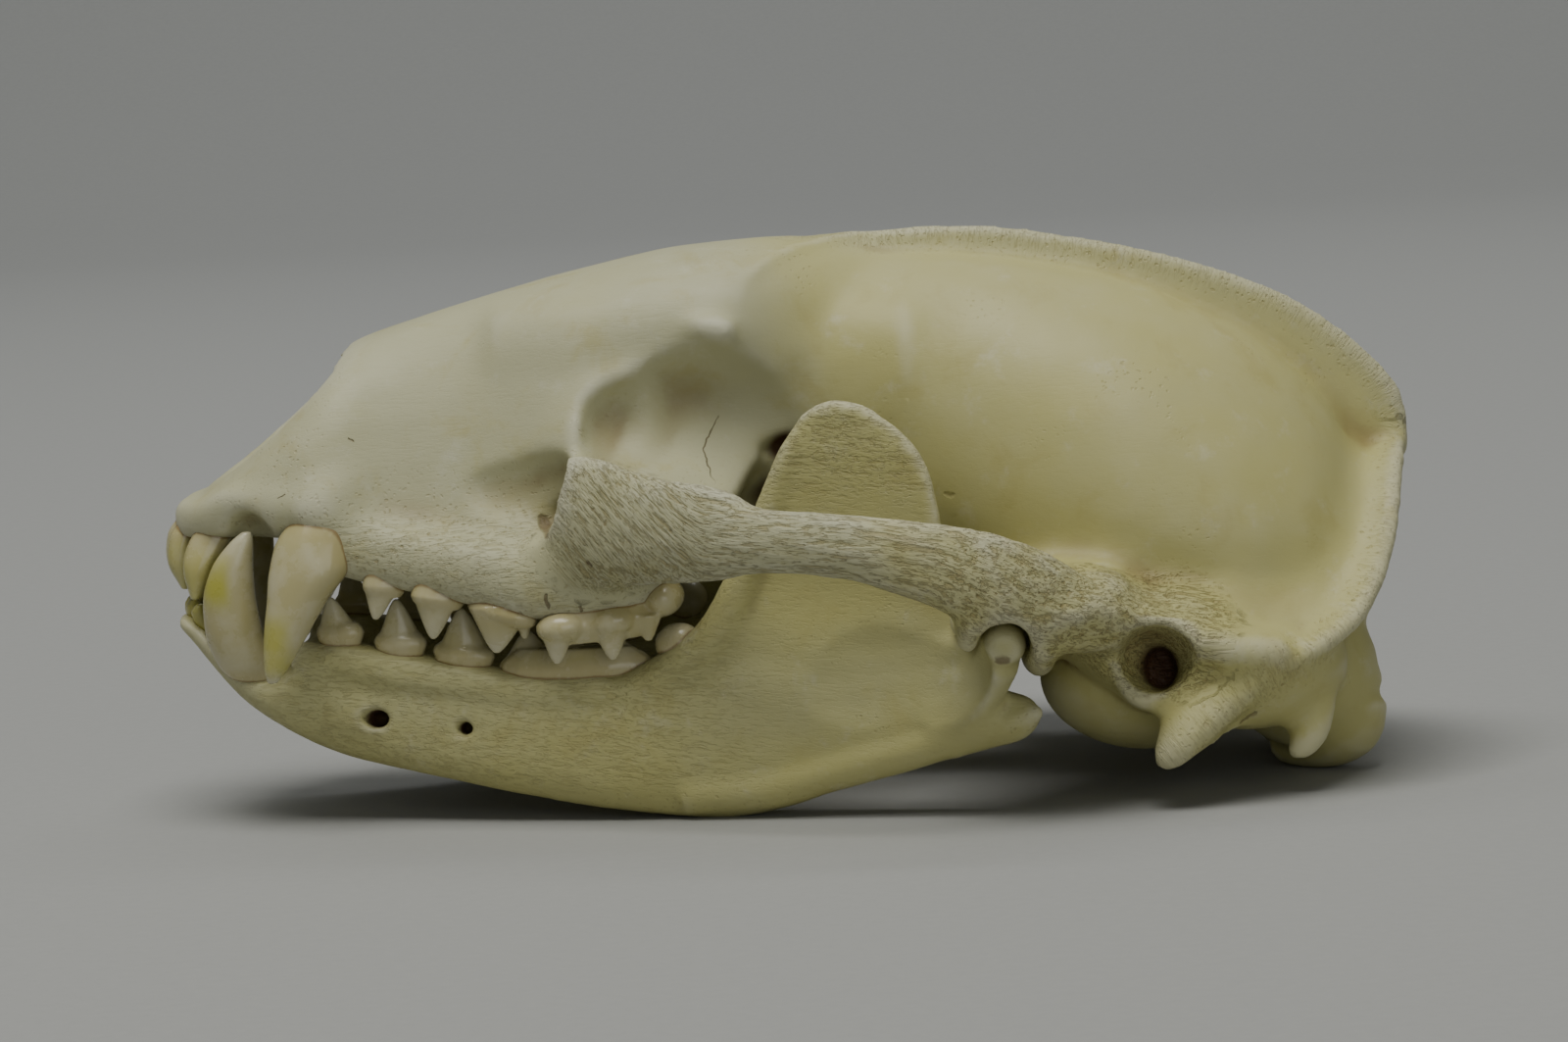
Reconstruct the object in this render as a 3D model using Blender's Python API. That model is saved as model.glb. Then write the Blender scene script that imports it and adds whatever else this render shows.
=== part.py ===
"""A badger skull with its lower jaw in place, resting on the jaw and the two condyles of the neck joint.

The script works in millimetres and scales each finished node to metres. The snout points to -X, up is +Z,
and the animal's left side is -Y. Paired bones are made for the left side and mirrored. Each region of bone
is laid down as overlapping closed pieces, which are fused into one skin, softened and thinned. The skin is
then parted into named nodes with thin cuts, and the teeth are joined to the bone that holds them.
"""

import math

import bmesh
import bpy
import numpy as np
from mathutils import Matrix, Vector

MM = 0.001

# Driving sizes, in millimetres
GAP = 0.3
FLOOR = 0.0
JAW_CLEARANCE = 0.35
MASS_VOXEL = 0.9
BONE_VOXEL = 0.6
JAW_VOXEL = 0.55
TOOTH_VOXEL = 0.3
CRANIUM_TRIANGLES = 6500
JAW_TRIANGLES = 1500

CONDYLE_CENTRE = (20.9, -27.0, 18.0)
CONDYLE_RADIUS = 2.3
BULLA_CENTRE = (35.0, -15.6, 11.2)
BULLA_RADII = (10.4, 8.2, 7.0)

BONE_COLOUR = (0.60, 0.56, 0.42, 1.0)
BONE_ROUGHNESS = 0.55


def clear_scene():
    for obj in list(bpy.data.objects):
        bpy.data.objects.remove(obj)


def through(knots):
    """A smooth function that passes through a few (position, value, ...) rows and never overshoots."""
    table = np.array(knots, float)
    xs, ys = table[:, 0], table[:, 1:]
    rise = np.diff(ys, axis=0) / np.diff(xs)[:, None]
    product = rise[1:] * rise[:-1]
    total = np.where(rise[1:] + rise[:-1] == 0, 1.0, rise[1:] + rise[:-1])
    inner = np.where(product > 0, 2 * product / total, 0.0)
    slope = np.vstack([rise[:1], inner, rise[-1:]])

    def value(at):
        at = np.clip(np.asarray(at, float), xs[0], xs[-1])
        i = np.clip(np.searchsorted(xs, at) - 1, 0, len(xs) - 2)
        h = (xs[i + 1] - xs[i])[..., None]
        t = (at[..., None] - xs[i][..., None]) / h
        return (
            (2 * t**3 - 3 * t**2 + 1) * ys[i]
            + (t**3 - 2 * t**2 + t) * h * slope[i]
            + (3 * t**2 - 2 * t**3) * ys[i + 1]
            + (t**3 - t**2) * h * slope[i + 1]
        )

    return value


def smooth_path(knots):
    """Rows of knots as a smooth curve, by the distance along their first three columns."""
    table = np.array(knots, float)
    steps = np.linalg.norm(np.diff(table[:, :3], axis=0), axis=1)
    along = np.concatenate([[0.0], np.cumsum(steps)])
    return through(np.column_stack([along, table])), along[-1]


def signed_power(value, power):
    return np.sign(value) * np.abs(value) ** power


def object_of(name, points, faces):
    mesh = bpy.data.meshes.new(name)
    mesh.from_pydata([tuple(map(float, p)) for p in points], [], faces)
    made = bmesh.new()
    made.from_mesh(mesh)
    bmesh.ops.recalc_face_normals(made, faces=made.faces)
    made.to_mesh(mesh)
    made.free()
    obj = bpy.data.objects.new(name, mesh)
    bpy.context.collection.objects.link(obj)
    return obj


def lofted(name, rings):
    """A closed body through rings, an array of (ring, point, xyz), with flat ends."""
    count, sides = rings.shape[:2]
    faces = [tuple(range(sides)), tuple(range((count - 1) * sides, count * sides))]
    for r in range(count - 1):
        for s in range(sides):
            a, b = r * sides + s, r * sides + (s + 1) % sides
            faces.append((a, b, b + sides, a + sides))
    return object_of(name, rings.reshape(-1, 3), faces)


def hull_loft(name, start, end, top, bottom, low, high, middle=None, square=2.6, flat=None, step=1.5, sides=36):
    """A body along X. top and bottom are its outline from the side, low and high its half widths there, and
    square and flat say how boxy its sections are in their upper and lower half."""
    top, bottom, low, high = (through(k) for k in (top, bottom, low, high))
    middle = through(middle) if middle else (lambda x: np.zeros((len(x), 1)))
    xs = np.linspace(start, end, max(4, int(abs(end - start) / step)))
    angle = np.linspace(0, 2 * math.pi, sides, endpoint=False)
    power = 2 / np.where(np.cos(angle) > 0, square, flat or square)
    up = signed_power(np.cos(angle), power)
    out = signed_power(np.sin(angle), power)
    t, b = top(xs), bottom(xs)
    z = (t + b) / 2 + (t - b) / 2 * up
    half = low(xs) + (high(xs) - low(xs)) * (1 + up) / 2
    y = middle(xs) + half * out
    x = np.broadcast_to(xs[:, None], z.shape)
    return lofted(name, np.stack([x, y, z], axis=2))


def swept(name, knots, sides=20, step=1.2, level=False, square=2.0):
    """A body along a path of (x, y, z, half height, half thickness) knots. Level rings lie flat, as a tooth's do."""
    path, length = smooth_path(knots)
    s = np.linspace(0, length, max(4, int(length / step)))
    rows = path(s)
    centre = rows[:, :3]
    tangent = np.gradient(centre, axis=0)
    tangent /= np.linalg.norm(tangent, axis=1, keepdims=True)
    if level:
        up = np.tile([1.0, 0.0, 0.0], (len(s), 1))
        side = np.tile([0.0, 1.0, 0.0], (len(s), 1))
    else:
        side = np.cross(tangent, [0.0, 0.0, 1.0])
        side /= np.linalg.norm(side, axis=1, keepdims=True)
        up = np.cross(side, tangent)
    angle = np.linspace(0, 2 * math.pi, sides, endpoint=False)
    a = signed_power(np.cos(angle), 2 / square)[None, :, None]
    b = signed_power(np.sin(angle), 2 / square)[None, :, None]
    rings = centre[:, None] + up[:, None] * a * rows[:, 3][:, None, None]
    rings = rings + side[:, None] * b * rows[:, 4][:, None, None]
    return lofted(name, rings)


def ridge(name, edge, root, edge_half, root_half, step=1.2):
    """A crest between its free edge and a root line inside the bone, thick at the root and thin at the edge."""
    edge_path, edge_length = smooth_path(edge)
    root_path, root_length = smooth_path(root)
    share = np.linspace(0, 1, int(edge_length / step))
    top, foot = edge_path(share * edge_length), root_path(share * root_length)
    along = np.gradient(top, axis=0)
    across = np.cross(along, top - foot)
    across /= np.linalg.norm(across, axis=1, keepdims=True)
    rings = []
    for level, half in ((0.0, 1.0), (0.25, 0.62), (0.5, 0.32), (0.75, 0.12), (0.93, 0.02)):
        half_here = edge_half + (root_half - edge_half) * half
        rings.append(foot + (top - foot) * level + across * half_here)
    rings.append(top)
    for level, half in ((0.93, 0.02), (0.75, 0.12), (0.5, 0.32), (0.25, 0.62), (0.0, 1.0)):
        half_here = edge_half + (root_half - edge_half) * half
        rings.append(foot + (top - foot) * level - across * half_here)
    return lofted(name, np.stack(rings, axis=1))


def ellipsoid(name, centre, radii, turn=(0, 0, 0), detail=24):
    mesh = bpy.data.meshes.new(name)
    made = bmesh.new()
    bmesh.ops.create_uvsphere(made, u_segments=detail, v_segments=detail // 2, radius=1.0)
    spin = Matrix.Rotation(math.radians(turn[2]), 4, "Z")
    spin @= Matrix.Rotation(math.radians(turn[1]), 4, "Y")
    spin @= Matrix.Rotation(math.radians(turn[0]), 4, "X")
    place = Matrix.Translation(centre) @ spin @ Matrix.Diagonal((*radii, 1.0))
    bmesh.ops.transform(made, matrix=place, verts=made.verts)
    made.to_mesh(mesh)
    made.free()
    obj = bpy.data.objects.new(name, mesh)
    bpy.context.collection.objects.link(obj)
    return obj


def box(name, low, high):
    corners = [(x, y, z) for x in (low[0], high[0]) for y in (low[1], high[1]) for z in (low[2], high[2])]
    faces = [(0, 1, 3, 2), (4, 6, 7, 5), (0, 4, 5, 1), (2, 3, 7, 6), (0, 2, 6, 4), (1, 5, 7, 3)]
    return object_of(name, corners, faces)


def plate(name, outline, half, edge, place):
    """A plate with round edges, whose outline is a smooth closed curve in X and Z. place(x, z) gives its Y."""
    curve = bpy.data.curves.new(name, "CURVE")
    curve.dimensions = "2D"
    curve.fill_mode = "BOTH"
    curve.extrude = max(half - edge, 0.01)
    curve.bevel_depth = edge
    curve.offset = -edge
    curve.bevel_resolution = 3
    curve.resolution_u = 6
    spline = curve.splines.new("BEZIER")
    spline.bezier_points.add(len(outline) - 1)
    spline.use_cyclic_u = True
    for point, (x, z) in zip(spline.bezier_points, outline):
        point.co = (x, z, 0)
        point.handle_left_type = point.handle_right_type = "AUTO"
    flat = bpy.data.objects.new(name, curve)
    bpy.context.collection.objects.link(flat)
    obj = settled(flat)
    weld(obj)
    for v in obj.data.vertices:
        x, z, off = v.co
        v.co = (x, place(x, z) + off, z)
    flip_if_inside_out(obj)
    return obj


def weld(obj, distance=0.01):
    made = bmesh.new()
    made.from_mesh(obj.data)
    bmesh.ops.remove_doubles(made, verts=made.verts, dist=distance)
    made.to_mesh(obj.data)
    made.free()


def flip_if_inside_out(obj):
    made = bmesh.new()
    made.from_mesh(obj.data)
    bmesh.ops.recalc_face_normals(made, faces=made.faces)
    if made.calc_volume(signed=True) < 0:
        bmesh.ops.reverse_faces(made, faces=made.faces)
    made.to_mesh(obj.data)
    made.free()


def mirrored(obj, name=None):
    mesh = obj.data.copy()
    mesh.transform(Matrix.Diagonal((1, -1, 1, 1)))
    mesh.flip_normals()
    copy = bpy.data.objects.new(name or obj.name + "_right", mesh)
    bpy.context.collection.objects.link(copy)
    return copy


def pair(obj):
    return [obj, mirrored(obj)]


def settled(obj):
    """The object as its modifiers leave it, as a new mesh object that takes its place."""
    graph = bpy.context.evaluated_depsgraph_get()
    graph.update()
    mesh = bpy.data.meshes.new_from_object(obj.evaluated_get(graph))
    name = obj.name
    bpy.data.objects.remove(obj)
    made = bpy.data.objects.new(name, mesh)
    bpy.context.collection.objects.link(made)
    return made


def joined(name, objects):
    made = bmesh.new()
    for obj in objects:
        made.from_mesh(obj.data)
    mesh = bpy.data.meshes.new(name)
    made.to_mesh(mesh)
    made.free()
    for obj in objects:
        bpy.data.objects.remove(obj)
    whole = bpy.data.objects.new(name, mesh)
    bpy.context.collection.objects.link(whole)
    return whole


def grown(obj, by):
    """A copy of obj whose skin stands out by this much, to cut clearance for it."""
    copy = bpy.data.objects.new(obj.name + "_grown", obj.data.copy())
    bpy.context.collection.objects.link(copy)
    swell = copy.modifiers.new("swell", "DISPLACE")
    swell.strength = by
    swell.mid_level = 0.0
    return settled(copy)


def fused(name, objects, voxel, rounds):
    """Overlapping closed pieces as one skin, softened where they meet."""
    whole = joined(name, objects)
    remesh = whole.modifiers.new("skin", "REMESH")
    remesh.mode = "VOXEL"
    remesh.voxel_size = voxel
    soften = whole.modifiers.new("soften", "SMOOTH")
    soften.factor = 0.5
    soften.iterations = rounds
    return settled(whole)


def thinned(obj, triangles):
    obj.data.calc_loop_triangles()
    thin = obj.modifiers.new("thin", "DECIMATE")
    thin.ratio = min(1.0, triangles / len(obj.data.loop_triangles))
    thin.use_collapse_triangulate = True
    return settled(obj)


def combined(obj, others, operation):
    """obj after one Boolean with a collection of closed pieces, which are then removed."""
    group = bpy.data.collections.new("pieces")
    bpy.context.scene.collection.children.link(group)
    for other in others:
        for home in list(other.users_collection):
            home.objects.unlink(other)
        group.objects.link(other)
    change = obj.modifiers.new("combine", "BOOLEAN")
    change.operation = operation
    change.operand_type = "COLLECTION"
    change.collection = group
    change.solver = "EXACT"
    made = settled(obj)
    for other in others:
        bpy.data.objects.remove(other)
    bpy.data.collections.remove(group)
    return made


def largest_part(obj):
    return sorted(loose_parts(obj), key=lambda part: -len(part.data.polygons))[0]


def loose_parts(obj):
    """The separate bodies of obj, each as its own object, with the scraps left out."""
    made = bmesh.new()
    made.from_mesh(obj.data)
    part_of = [-1] * len(made.verts)
    parts = []
    for seed in made.verts:
        if part_of[seed.index] >= 0:
            continue
        number = len(parts)
        part_of[seed.index] = number
        found, queue = [seed], [seed]
        while queue:
            for edge in queue.pop().link_edges:
                for v in edge.verts:
                    if part_of[v.index] < 0:
                        part_of[v.index] = number
                        found.append(v)
                        queue.append(v)
        parts.append(found)
    faces_of = [[] for _ in parts]
    for face in made.faces:
        faces_of[part_of[face.verts[0].index]].append(face)
    objects = []
    for number, found in enumerate(parts):
        if len(found) <= 30:
            continue
        index = {v.index: i for i, v in enumerate(found)}
        faces = [tuple(index[v.index] for v in face.verts) for face in faces_of[number]]
        objects.append(object_of(f"{obj.name}_{number}", [v.co[:] for v in found], faces))
    made.free()
    bpy.data.objects.remove(obj)
    return objects


def centre_of(obj):
    points = np.array([v.co[:] for v in obj.data.vertices])
    return (points.min(0) + points.max(0)) / 2


# Outline of the cranium from the side

TOP = [
    (-64.3, 31.0), (-61.5, 34.0), (-57.0, 37.6), (-51.7, 42.6), (-48.2, 46.0), (-45.2, 48.9), (-40.5, 50.5),
    (-30.0, 53.3), (-19.6, 55.6), (-9.2, 57.3), (1.0, 57.8), (6.2, 57.4), (12.0, 55.4),
]
TOOTH_LINE = [
    (-64.3, 29.6), (-58.0, 30.0), (-52.0, 29.8), (-48.6, 29.2), (-45.0, 26.8), (-42.0, 25.7), (-36.0, 24.8),
    (-31.0, 23.4), (-26.0, 21.8), (-22.5, 20.8), (-17.0, 21.6), (-13.0, 23.4), (-9.0, 25.2), (6.0, 26.0),
]


def snout_mass():
    low = [(-64.3, 6.4), (-61.5, 10.0), (-57.0, 13.2), (-52.0, 16.0), (-48.6, 17.0), (-45.0, 16.8), (-40.0, 16.8),
           (-35.0, 17.8), (-30.0, 19.6), (-25.0, 21.2), (-20.0, 22.0)]
    high = [(-64.3, 6.0), (-61.5, 8.6), (-57.0, 10.8), (-52.0, 12.0), (-48.0, 12.2), (-44.0, 10.8), (-40.0, 9.4),
            (-35.0, 9.2), (-30.0, 10.6), (-25.0, 13.0), (-20.0, 15.0)]
    return hull_loft("snout_mass", -64.3, -19.5, TOP, TOOTH_LINE, low, high, square=2.7, flat=6.0)


def canine_root_bulge():
    knots = [(-39.0, -9.6, 39.4, 2.2, 2.0), (-43.5, -11.6, 36.2, 3.2, 2.6), (-47.0, -13.4, 33.0, 4.2, 3.4),
             (-49.0, -14.4, 30.6, 4.4, 3.4)]
    return swept("canine_root_bulge", knots, sides=16)


def front_tooth_ridge():
    """The rim of bone that holds the incisors and runs back to the canine."""
    knots = [(-62.8, 1.0, 31.8, 1.9, 1.7), (-62.4, -4.0, 31.9, 1.9, 1.7), (-60.4, -7.8, 32.2, 2.0, 1.8),
             (-56.0, -10.8, 33.8, 2.2, 2.2), (-51.0, -13.0, 33.2, 3.0, 2.8)]
    return swept("front_tooth_ridge", knots)


def forehead_mass():
    bottom = [(-30.0, 44.0), (-20.0, 45.6), (-9.0, 47.2), (-5.0, 46.8), (0.0, 44.0), (6.0, 40.0), (12.0, 38.0)]
    low = [(-30.0, 13.5), (-20.0, 16.8), (-15.5, 17.2), (-9.4, 17.7), (-5.0, 18.4), (-2.0, 16.0), (2.0, 13.4),
           (6.0, 12.6), (12.0, 14.0)]
    high = [(-30.0, 9.5), (-20.0, 12.0), (-9.4, 12.5), (-5.0, 12.0), (-2.0, 10.6), (2.0, 8.6), (6.0, 6.8),
            (12.0, 5.6)]
    return hull_loft("forehead_mass", -30.0, 12.0, TOP, bottom, low, high, square=2.3, flat=4.5)


def orbit_wall_mass():
    top = [(-26.0, 50.0), (-15.0, 52.0), (0.0, 53.6), (14.0, 53.4)]
    bottom = [(-26.0, 26.0), (-10.0, 25.5), (0.0, 22.5), (14.0, 17.0)]
    low = [(-26.0, 17.0), (-20.0, 14.0), (-12.0, 12.4), (-4.0, 11.2), (2.0, 10.6), (8.0, 11.6), (14.0, 13.6)]
    high = [(-26.0, 14.0), (-20.0, 11.0), (-12.0, 9.8), (-4.0, 11.0), (2.0, 12.2), (8.0, 13.2), (14.0, 15.8)]
    return hull_loft("orbit_wall_mass", -26.0, 14.0, top, bottom, low, high, square=2.8)


def orbit_front_mass():
    """The thick bone in front of the eye, from the brow down to the cheek root, before the eye socket is cut."""
    top = [(-27.0, 47.0), (-20.0, 49.4), (-14.0, 50.6), (-8.0, 51.0), (3.5, 50.0)]
    bottom = [(-29.0, 25.0), (-20.0, 23.6), (-14.0, 24.2), (-8.0, 25.4), (-3.0, 34.0), (3.5, 40.0)]
    low = [(-29.0, 18.6), (-22.0, 23.6), (-18.0, 26.0), (-14.0, 27.6), (-8.0, 29.0), (-3.0, 20.0), (3.5, 9.0)]
    high = [(-29.0, 12.0), (-20.0, 18.0), (-14.0, 18.6), (-8.0, 18.0), (-3.0, 14.0), (3.5, 8.0)]
    return hull_loft("orbit_front_mass", -29.0, 3.5, top, bottom, low, high, square=2.5)


def orbit_cut():
    knots = [(-21.6, -20.5, 41.0, 2.4, 5.0), (-20.6, -21.0, 41.1, 4.4, 7.2), (-18.2, -22.8, 41.5, 6.4, 10.2),
             (-13.0, -25.3, 42.1, 8.6, 13.9), (-6.0, -28.0, 40.8, 10.2, 16.9), (2.0, -30.0, 37.0, 12.5, 18.6),
             (8.0, -31.0, 36.0, 13.0, 18.4)]
    return swept("orbit_cut", knots, sides=32)


def cheek_inner_cut():
    """Clears the inner side of the arch behind the last molar."""
    knots = [(-12.4, -23.6, 29.0, 6.0, 2.6), (-6.0, -24.4, 29.0, 7.0, 5.4), (4.0, -26.0, 29.0, 8.0, 7.0)]
    return swept("cheek_inner_cut", knots)


def cheek_tooth_mass():
    top = [(-27.0, 37.0), (-20.0, 33.0), (-14.0, 30.0), (-9.0, 28.6)]
    low = [(-27.0, 19.8), (-20.0, 21.4), (-15.0, 20.6), (-12.0, 18.8), (-9.0, 15.0)]
    high = [(-27.0, 17.0), (-20.0, 18.0), (-14.0, 16.5), (-9.0, 13.0)]
    return hull_loft("cheek_tooth_mass", -27.0, -9.0, top, TOOTH_LINE, low, high, square=3.0)


def cheek_dip():
    """The wide shallow dip in the side of the face, in front of the cheek root."""
    return ellipsoid("cheek_dip", (-27.6, -23.6, 33.8), (8.6, 6.8, 5.4), (0, 0, -14))


def tooth_ridge():
    """The rim of bone that holds the upper cheek teeth."""
    knots = [(-47.0, -14.0, 29.6, 3.4, 2.4), (-42.0, -15.0, 28.2, 3.4, 2.5), (-36.0, -16.6, 27.0, 3.4, 2.8),
             (-30.0, -18.4, 25.8, 3.6, 3.1), (-25.0, -19.0, 24.6, 3.6, 3.6), (-18.0, -18.8, 25.0, 3.8, 4.0),
             (-13.0, -17.6, 26.6, 3.2, 3.4)]
    return swept("tooth_ridge", knots, square=3.0)


def palate_mass():
    top = [(-14.0, 29.0), (0.0, 28.5), (5.5, 28.0)]
    bottom = [(-14.0, 25.4), (0.0, 25.4), (5.5, 25.6)]
    low = [(-14.0, 13.0), (-8.0, 10.5), (0.0, 8.6), (5.5, 8.0)]
    return hull_loft("palate_mass", -14.0, 5.5, top, bottom, low, low, square=4.0)


def pterygoid():
    knots = [(-3.0, -7.6, 26.0, 2.6, 1.3), (5.0, -7.2, 22.4, 4.0, 0.95), (11.0, -7.0, 19.6, 3.6, 0.85),
             (15.5, -7.4, 17.0, 2.2, 0.8)]
    return swept("pterygoid", knots)


def brain_mass():
    top = [(4.0, 55.8), (12.0, 55.8), (20.0, 55.2), (30.0, 53.4), (38.0, 51.0), (46.0, 47.2), (52.0, 43.0),
           (57.0, 37.6), (60.5, 30.0)]
    bottom = [(4.0, 24.0), (14.0, 19.5), (24.0, 15.0), (36.0, 12.6), (48.0, 11.0), (57.0, 12.4), (60.5, 15.0)]
    low = [(4.0, 10.4), (12.0, 14.6), (20.0, 19.6), (28.0, 23.2), (36.0, 26.6), (44.0, 27.4), (52.0, 25.0),
           (57.0, 20.4), (60.5, 11.0)]
    high = [(4.0, 8.8), (12.0, 12.0), (20.0, 15.0), (28.0, 16.8), (36.0, 17.2), (44.0, 16.4), (52.0, 13.8),
            (57.0, 10.0), (60.5, 6.0)]
    return hull_loft("brain_mass", 4.0, 60.5, top, bottom, low, high, square=2.15, sides=48)


def skull_base_mass():
    top = [(2.0, 29.0), (20.0, 26.0), (57.0, 20.0)]
    bottom = [(2.0, 25.0), (8.0, 21.4), (16.0, 17.2), (26.0, 13.6), (38.0, 11.4), (48.0, 8.8), (55.5, 5.4)]
    low = [(2.0, 7.4), (10.0, 8.6), (20.0, 10.6), (32.0, 12.0), (44.0, 13.0), (52.0, 15.4), (55.5, 14.0)]
    return hull_loft("skull_base_mass", 2.0, 57.0, top, bottom, low, low, square=3.0)


def ear_mass():
    return ellipsoid("ear_mass", (36.6, -21.6, 15.4), (9.0, 8.4, 5.6), (0, 6, 4))


def ear_roof_mass():
    """The bone above the ear, which joins the shelf to the braincase in a hollow curve."""
    return ellipsoid("ear_roof_mass", (36.5, -22.0, 17.3), (13.5, 7.4, 4.6), (0, 6, 4))


def neck_side_mass():
    """The bone behind the ear, between the nuchal crest and the base of the skull."""
    return ellipsoid("neck_side_mass", (46.4, -20.2, 12.6), (10.6, 8.8, 6.4), (0, 0, 26))


def brow_corner():
    """The small corner of the brow behind the eye."""
    knots = [(-10.0, -14.8, 50.2, 1.0, 1.2), (-7.0, -15.8, 49.8, 1.5, 1.6), (-4.6, -16.6, 49.2, 1.1, 1.1)]
    return swept("brow_corner", knots)


def cheek_root():
    """The front root of the cheek arch, which bridges the opening below the eye."""
    knots = [(-25.0, -17.4, 33.4, 3.6, 1.6), (-23.8, -19.4, 32.8, 5.2, 2.4), (-21.8, -21.6, 31.9, 6.6, 2.9),
             (-19.0, -23.2, 31.0, 6.8, 3.0),
             (-16.0, -24.8, 30.6, 6.0, 3.0), (-11.0, -27.8, 30.3, 5.2, 2.4)]
    return swept("cheek_root", knots)


def cheek_arch():
    knots = [(-16.0, -24.8, 30.6, 5.7, 2.6), (-10.5, -27.8, 30.3, 5.3, 2.4), (-7.0, -29.8, 30.1, 4.9, 2.3),
             (-3.5, -31.6, 29.6, 3.6, 2.2), (0.0, -33.1, 29.4, 3.3, 2.1), (5.0, -35.0, 29.0, 3.4, 2.1),
             (9.4, -36.2, 28.1, 3.7, 2.1), (14.0, -36.8, 27.0, 4.2, 2.1), (19.0, -36.6, 25.1, 4.9, 2.4),
             (23.5, -35.2, 22.8, 5.0, 2.9), (27.5, -32.8, 20.8, 4.2, 3.2), (31.5, -29.8, 19.4, 3.2, 3.4),
             (36.0, -27.4, 18.4, 2.4, 3.0)]
    return swept("cheek_arch", knots, step=1.0)


def jaw_socket_mass():
    return ellipsoid("jaw_socket_mass", (24.6, -25.6, 20.9), (10.0, 12.6, 3.9), (0, -8, 8))


def ear_shelf():
    """The shelf that runs from the arch over the ear opening to the nuchal crest."""
    knots = [(24.0, -33.0, 21.6, 2.2, 4.0), (29.0, -30.6, 20.2, 2.3, 5.4), (34.0, -28.2, 18.8, 2.0, 4.8),
             (39.0, -27.4, 17.6, 2.0, 4.6), (44.0, -27.6, 15.6, 2.4, 4.4), (49.0, -26.0, 14.6, 2.4, 4.0)]
    return swept("ear_shelf", knots)


def front_lip():
    knots = [(17.4, -36.0, 21.5, 2.6, 1.5), (17.2, -34.2, 18.9, 1.6, 1.2), (17.6, -31.2, 18.4, 1.0, 1.0)]
    return swept("front_lip", knots)


def back_lip():
    knots = [(24.6, -35.0, 19.0, 2.6, 1.8), (24.6, -29.0, 16.8, 2.8, 1.8), (24.4, -21.0, 15.8, 2.6, 1.6),
             (24.6, -17.5, 17.0, 1.6, 1.2)]
    return swept("back_lip", knots)


def ear_tube():
    knots = [(36.4, -18.0, 13.6, 4.6, 4.6), (36.4, -24.0, 13.6, 4.6, 4.6), (36.3, -28.0, 14.4, 4.7, 4.6)]
    return swept("ear_tube", knots)


def mastoid():
    knots = [(45.0, -25.4, 13.0, 6.0, 4.4), (41.8, -27.6, 10.4, 4.8, 3.6), (38.9, -29.5, 7.2, 3.1, 2.7),
             (37.1, -30.2, 4.9, 1.9, 1.8), (36.7, -30.3, 4.0, 1.0, 1.0)]
    return swept("mastoid", knots, level=True)


def paroccipital():
    knots = [(51.0, -20.4, 13.0, 4.2, 4.4), (51.6, -22.4, 10.0, 3.3, 2.6), (51.9, -23.7, 7.0, 2.4, 1.8),
             (51.2, -24.3, 4.7, 1.9, 1.5), (50.2, -24.4, 3.5, 1.2, 1.0)]
    return swept("paroccipital", knots, level=True)


def neck_condyle():
    knots = [(50.6, -4.6, 2.4, 2.4, 3.0), (53.6, -7.6, 2.9, 3.1, 3.6), (56.6, -9.9, 4.6, 3.9, 4.4),
             (57.6, -10.5, 7.4, 3.8, 4.2), (57.2, -9.9, 10.0, 2.6, 3.2)]
    return swept("neck_condyle", knots)


def condyle_root():
    return ellipsoid("condyle_root", (52.4, -10.2, 10.4), (8.2, 7.2, 8.0), (0, 0, 10))


SAGITTAL_EDGE = [
    (3.0, 0, 57.4), (11.3, 0, 58.15), (16.5, 0, 58.3), (21.6, 0, 58.0), (31.8, 0, 56.25), (41.9, 0, 53.7),
    (52.0, 0, 49.8), (57.0, 0, 46.75), (62.0, 0, 42.2), (64.9, 0, 38.6), (65.6, 0, 35.6), (65.4, 0, 31.2),
]
SAGITTAL_ROOT = [(8.0, 0, 50.0), (18.0, 0, 49.5), (30.0, 0, 47.0), (44.0, 0, 40.0), (54.0, 0, 32.0), (57.0, 0, 28.0)]
NUCHAL_EDGE = [
    (65.5, 1.0, 34.0), (64.2, -7.0, 31.0), (62.8, -14.0, 26.3), (60.8, -19.5, 21.6), (57.6, -24.2, 17.4),
    (53.2, -27.6, 14.9), (48.0, -29.8, 13.0), (43.4, -30.9, 10.4), (39.4, -31.2, 7.2), (37.0, -30.9, 4.9),
]
NUCHAL_ROOT = [
    (57.0, 1.0, 30.0), (56.5, -6.0, 27.0), (55.0, -11.5, 23.0), (52.5, -15.5, 19.5), (49.0, -18.5, 17.0),
    (46.5, -20.5, 15.5), (45.0, -22.0, 14.0), (43.5, -24.0, 12.6), (42.4, -26.0, 10.6), (40.4, -28.0, 8.4),
]


def sagittal_crest():
    return ridge("sagittal_crest", SAGITTAL_EDGE, SAGITTAL_ROOT, 1.0, 3.8)


def nuchal_crest():
    return ridge("nuchal_crest", NUCHAL_EDGE, NUCHAL_ROOT, 0.9, 4.8)


def nuchal_foot():
    """A broad low body under the nuchal crest, from which the crest rises in a hollow curve."""
    edge = [tuple(r + (e - r) * 0.62 for e, r in zip(at_edge, at_root))
            for at_edge, at_root in zip(NUCHAL_EDGE[:7], NUCHAL_ROOT[:7])]
    return ridge("nuchal_foot", edge, NUCHAL_ROOT[:7], 2.2, 7.0)


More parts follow.
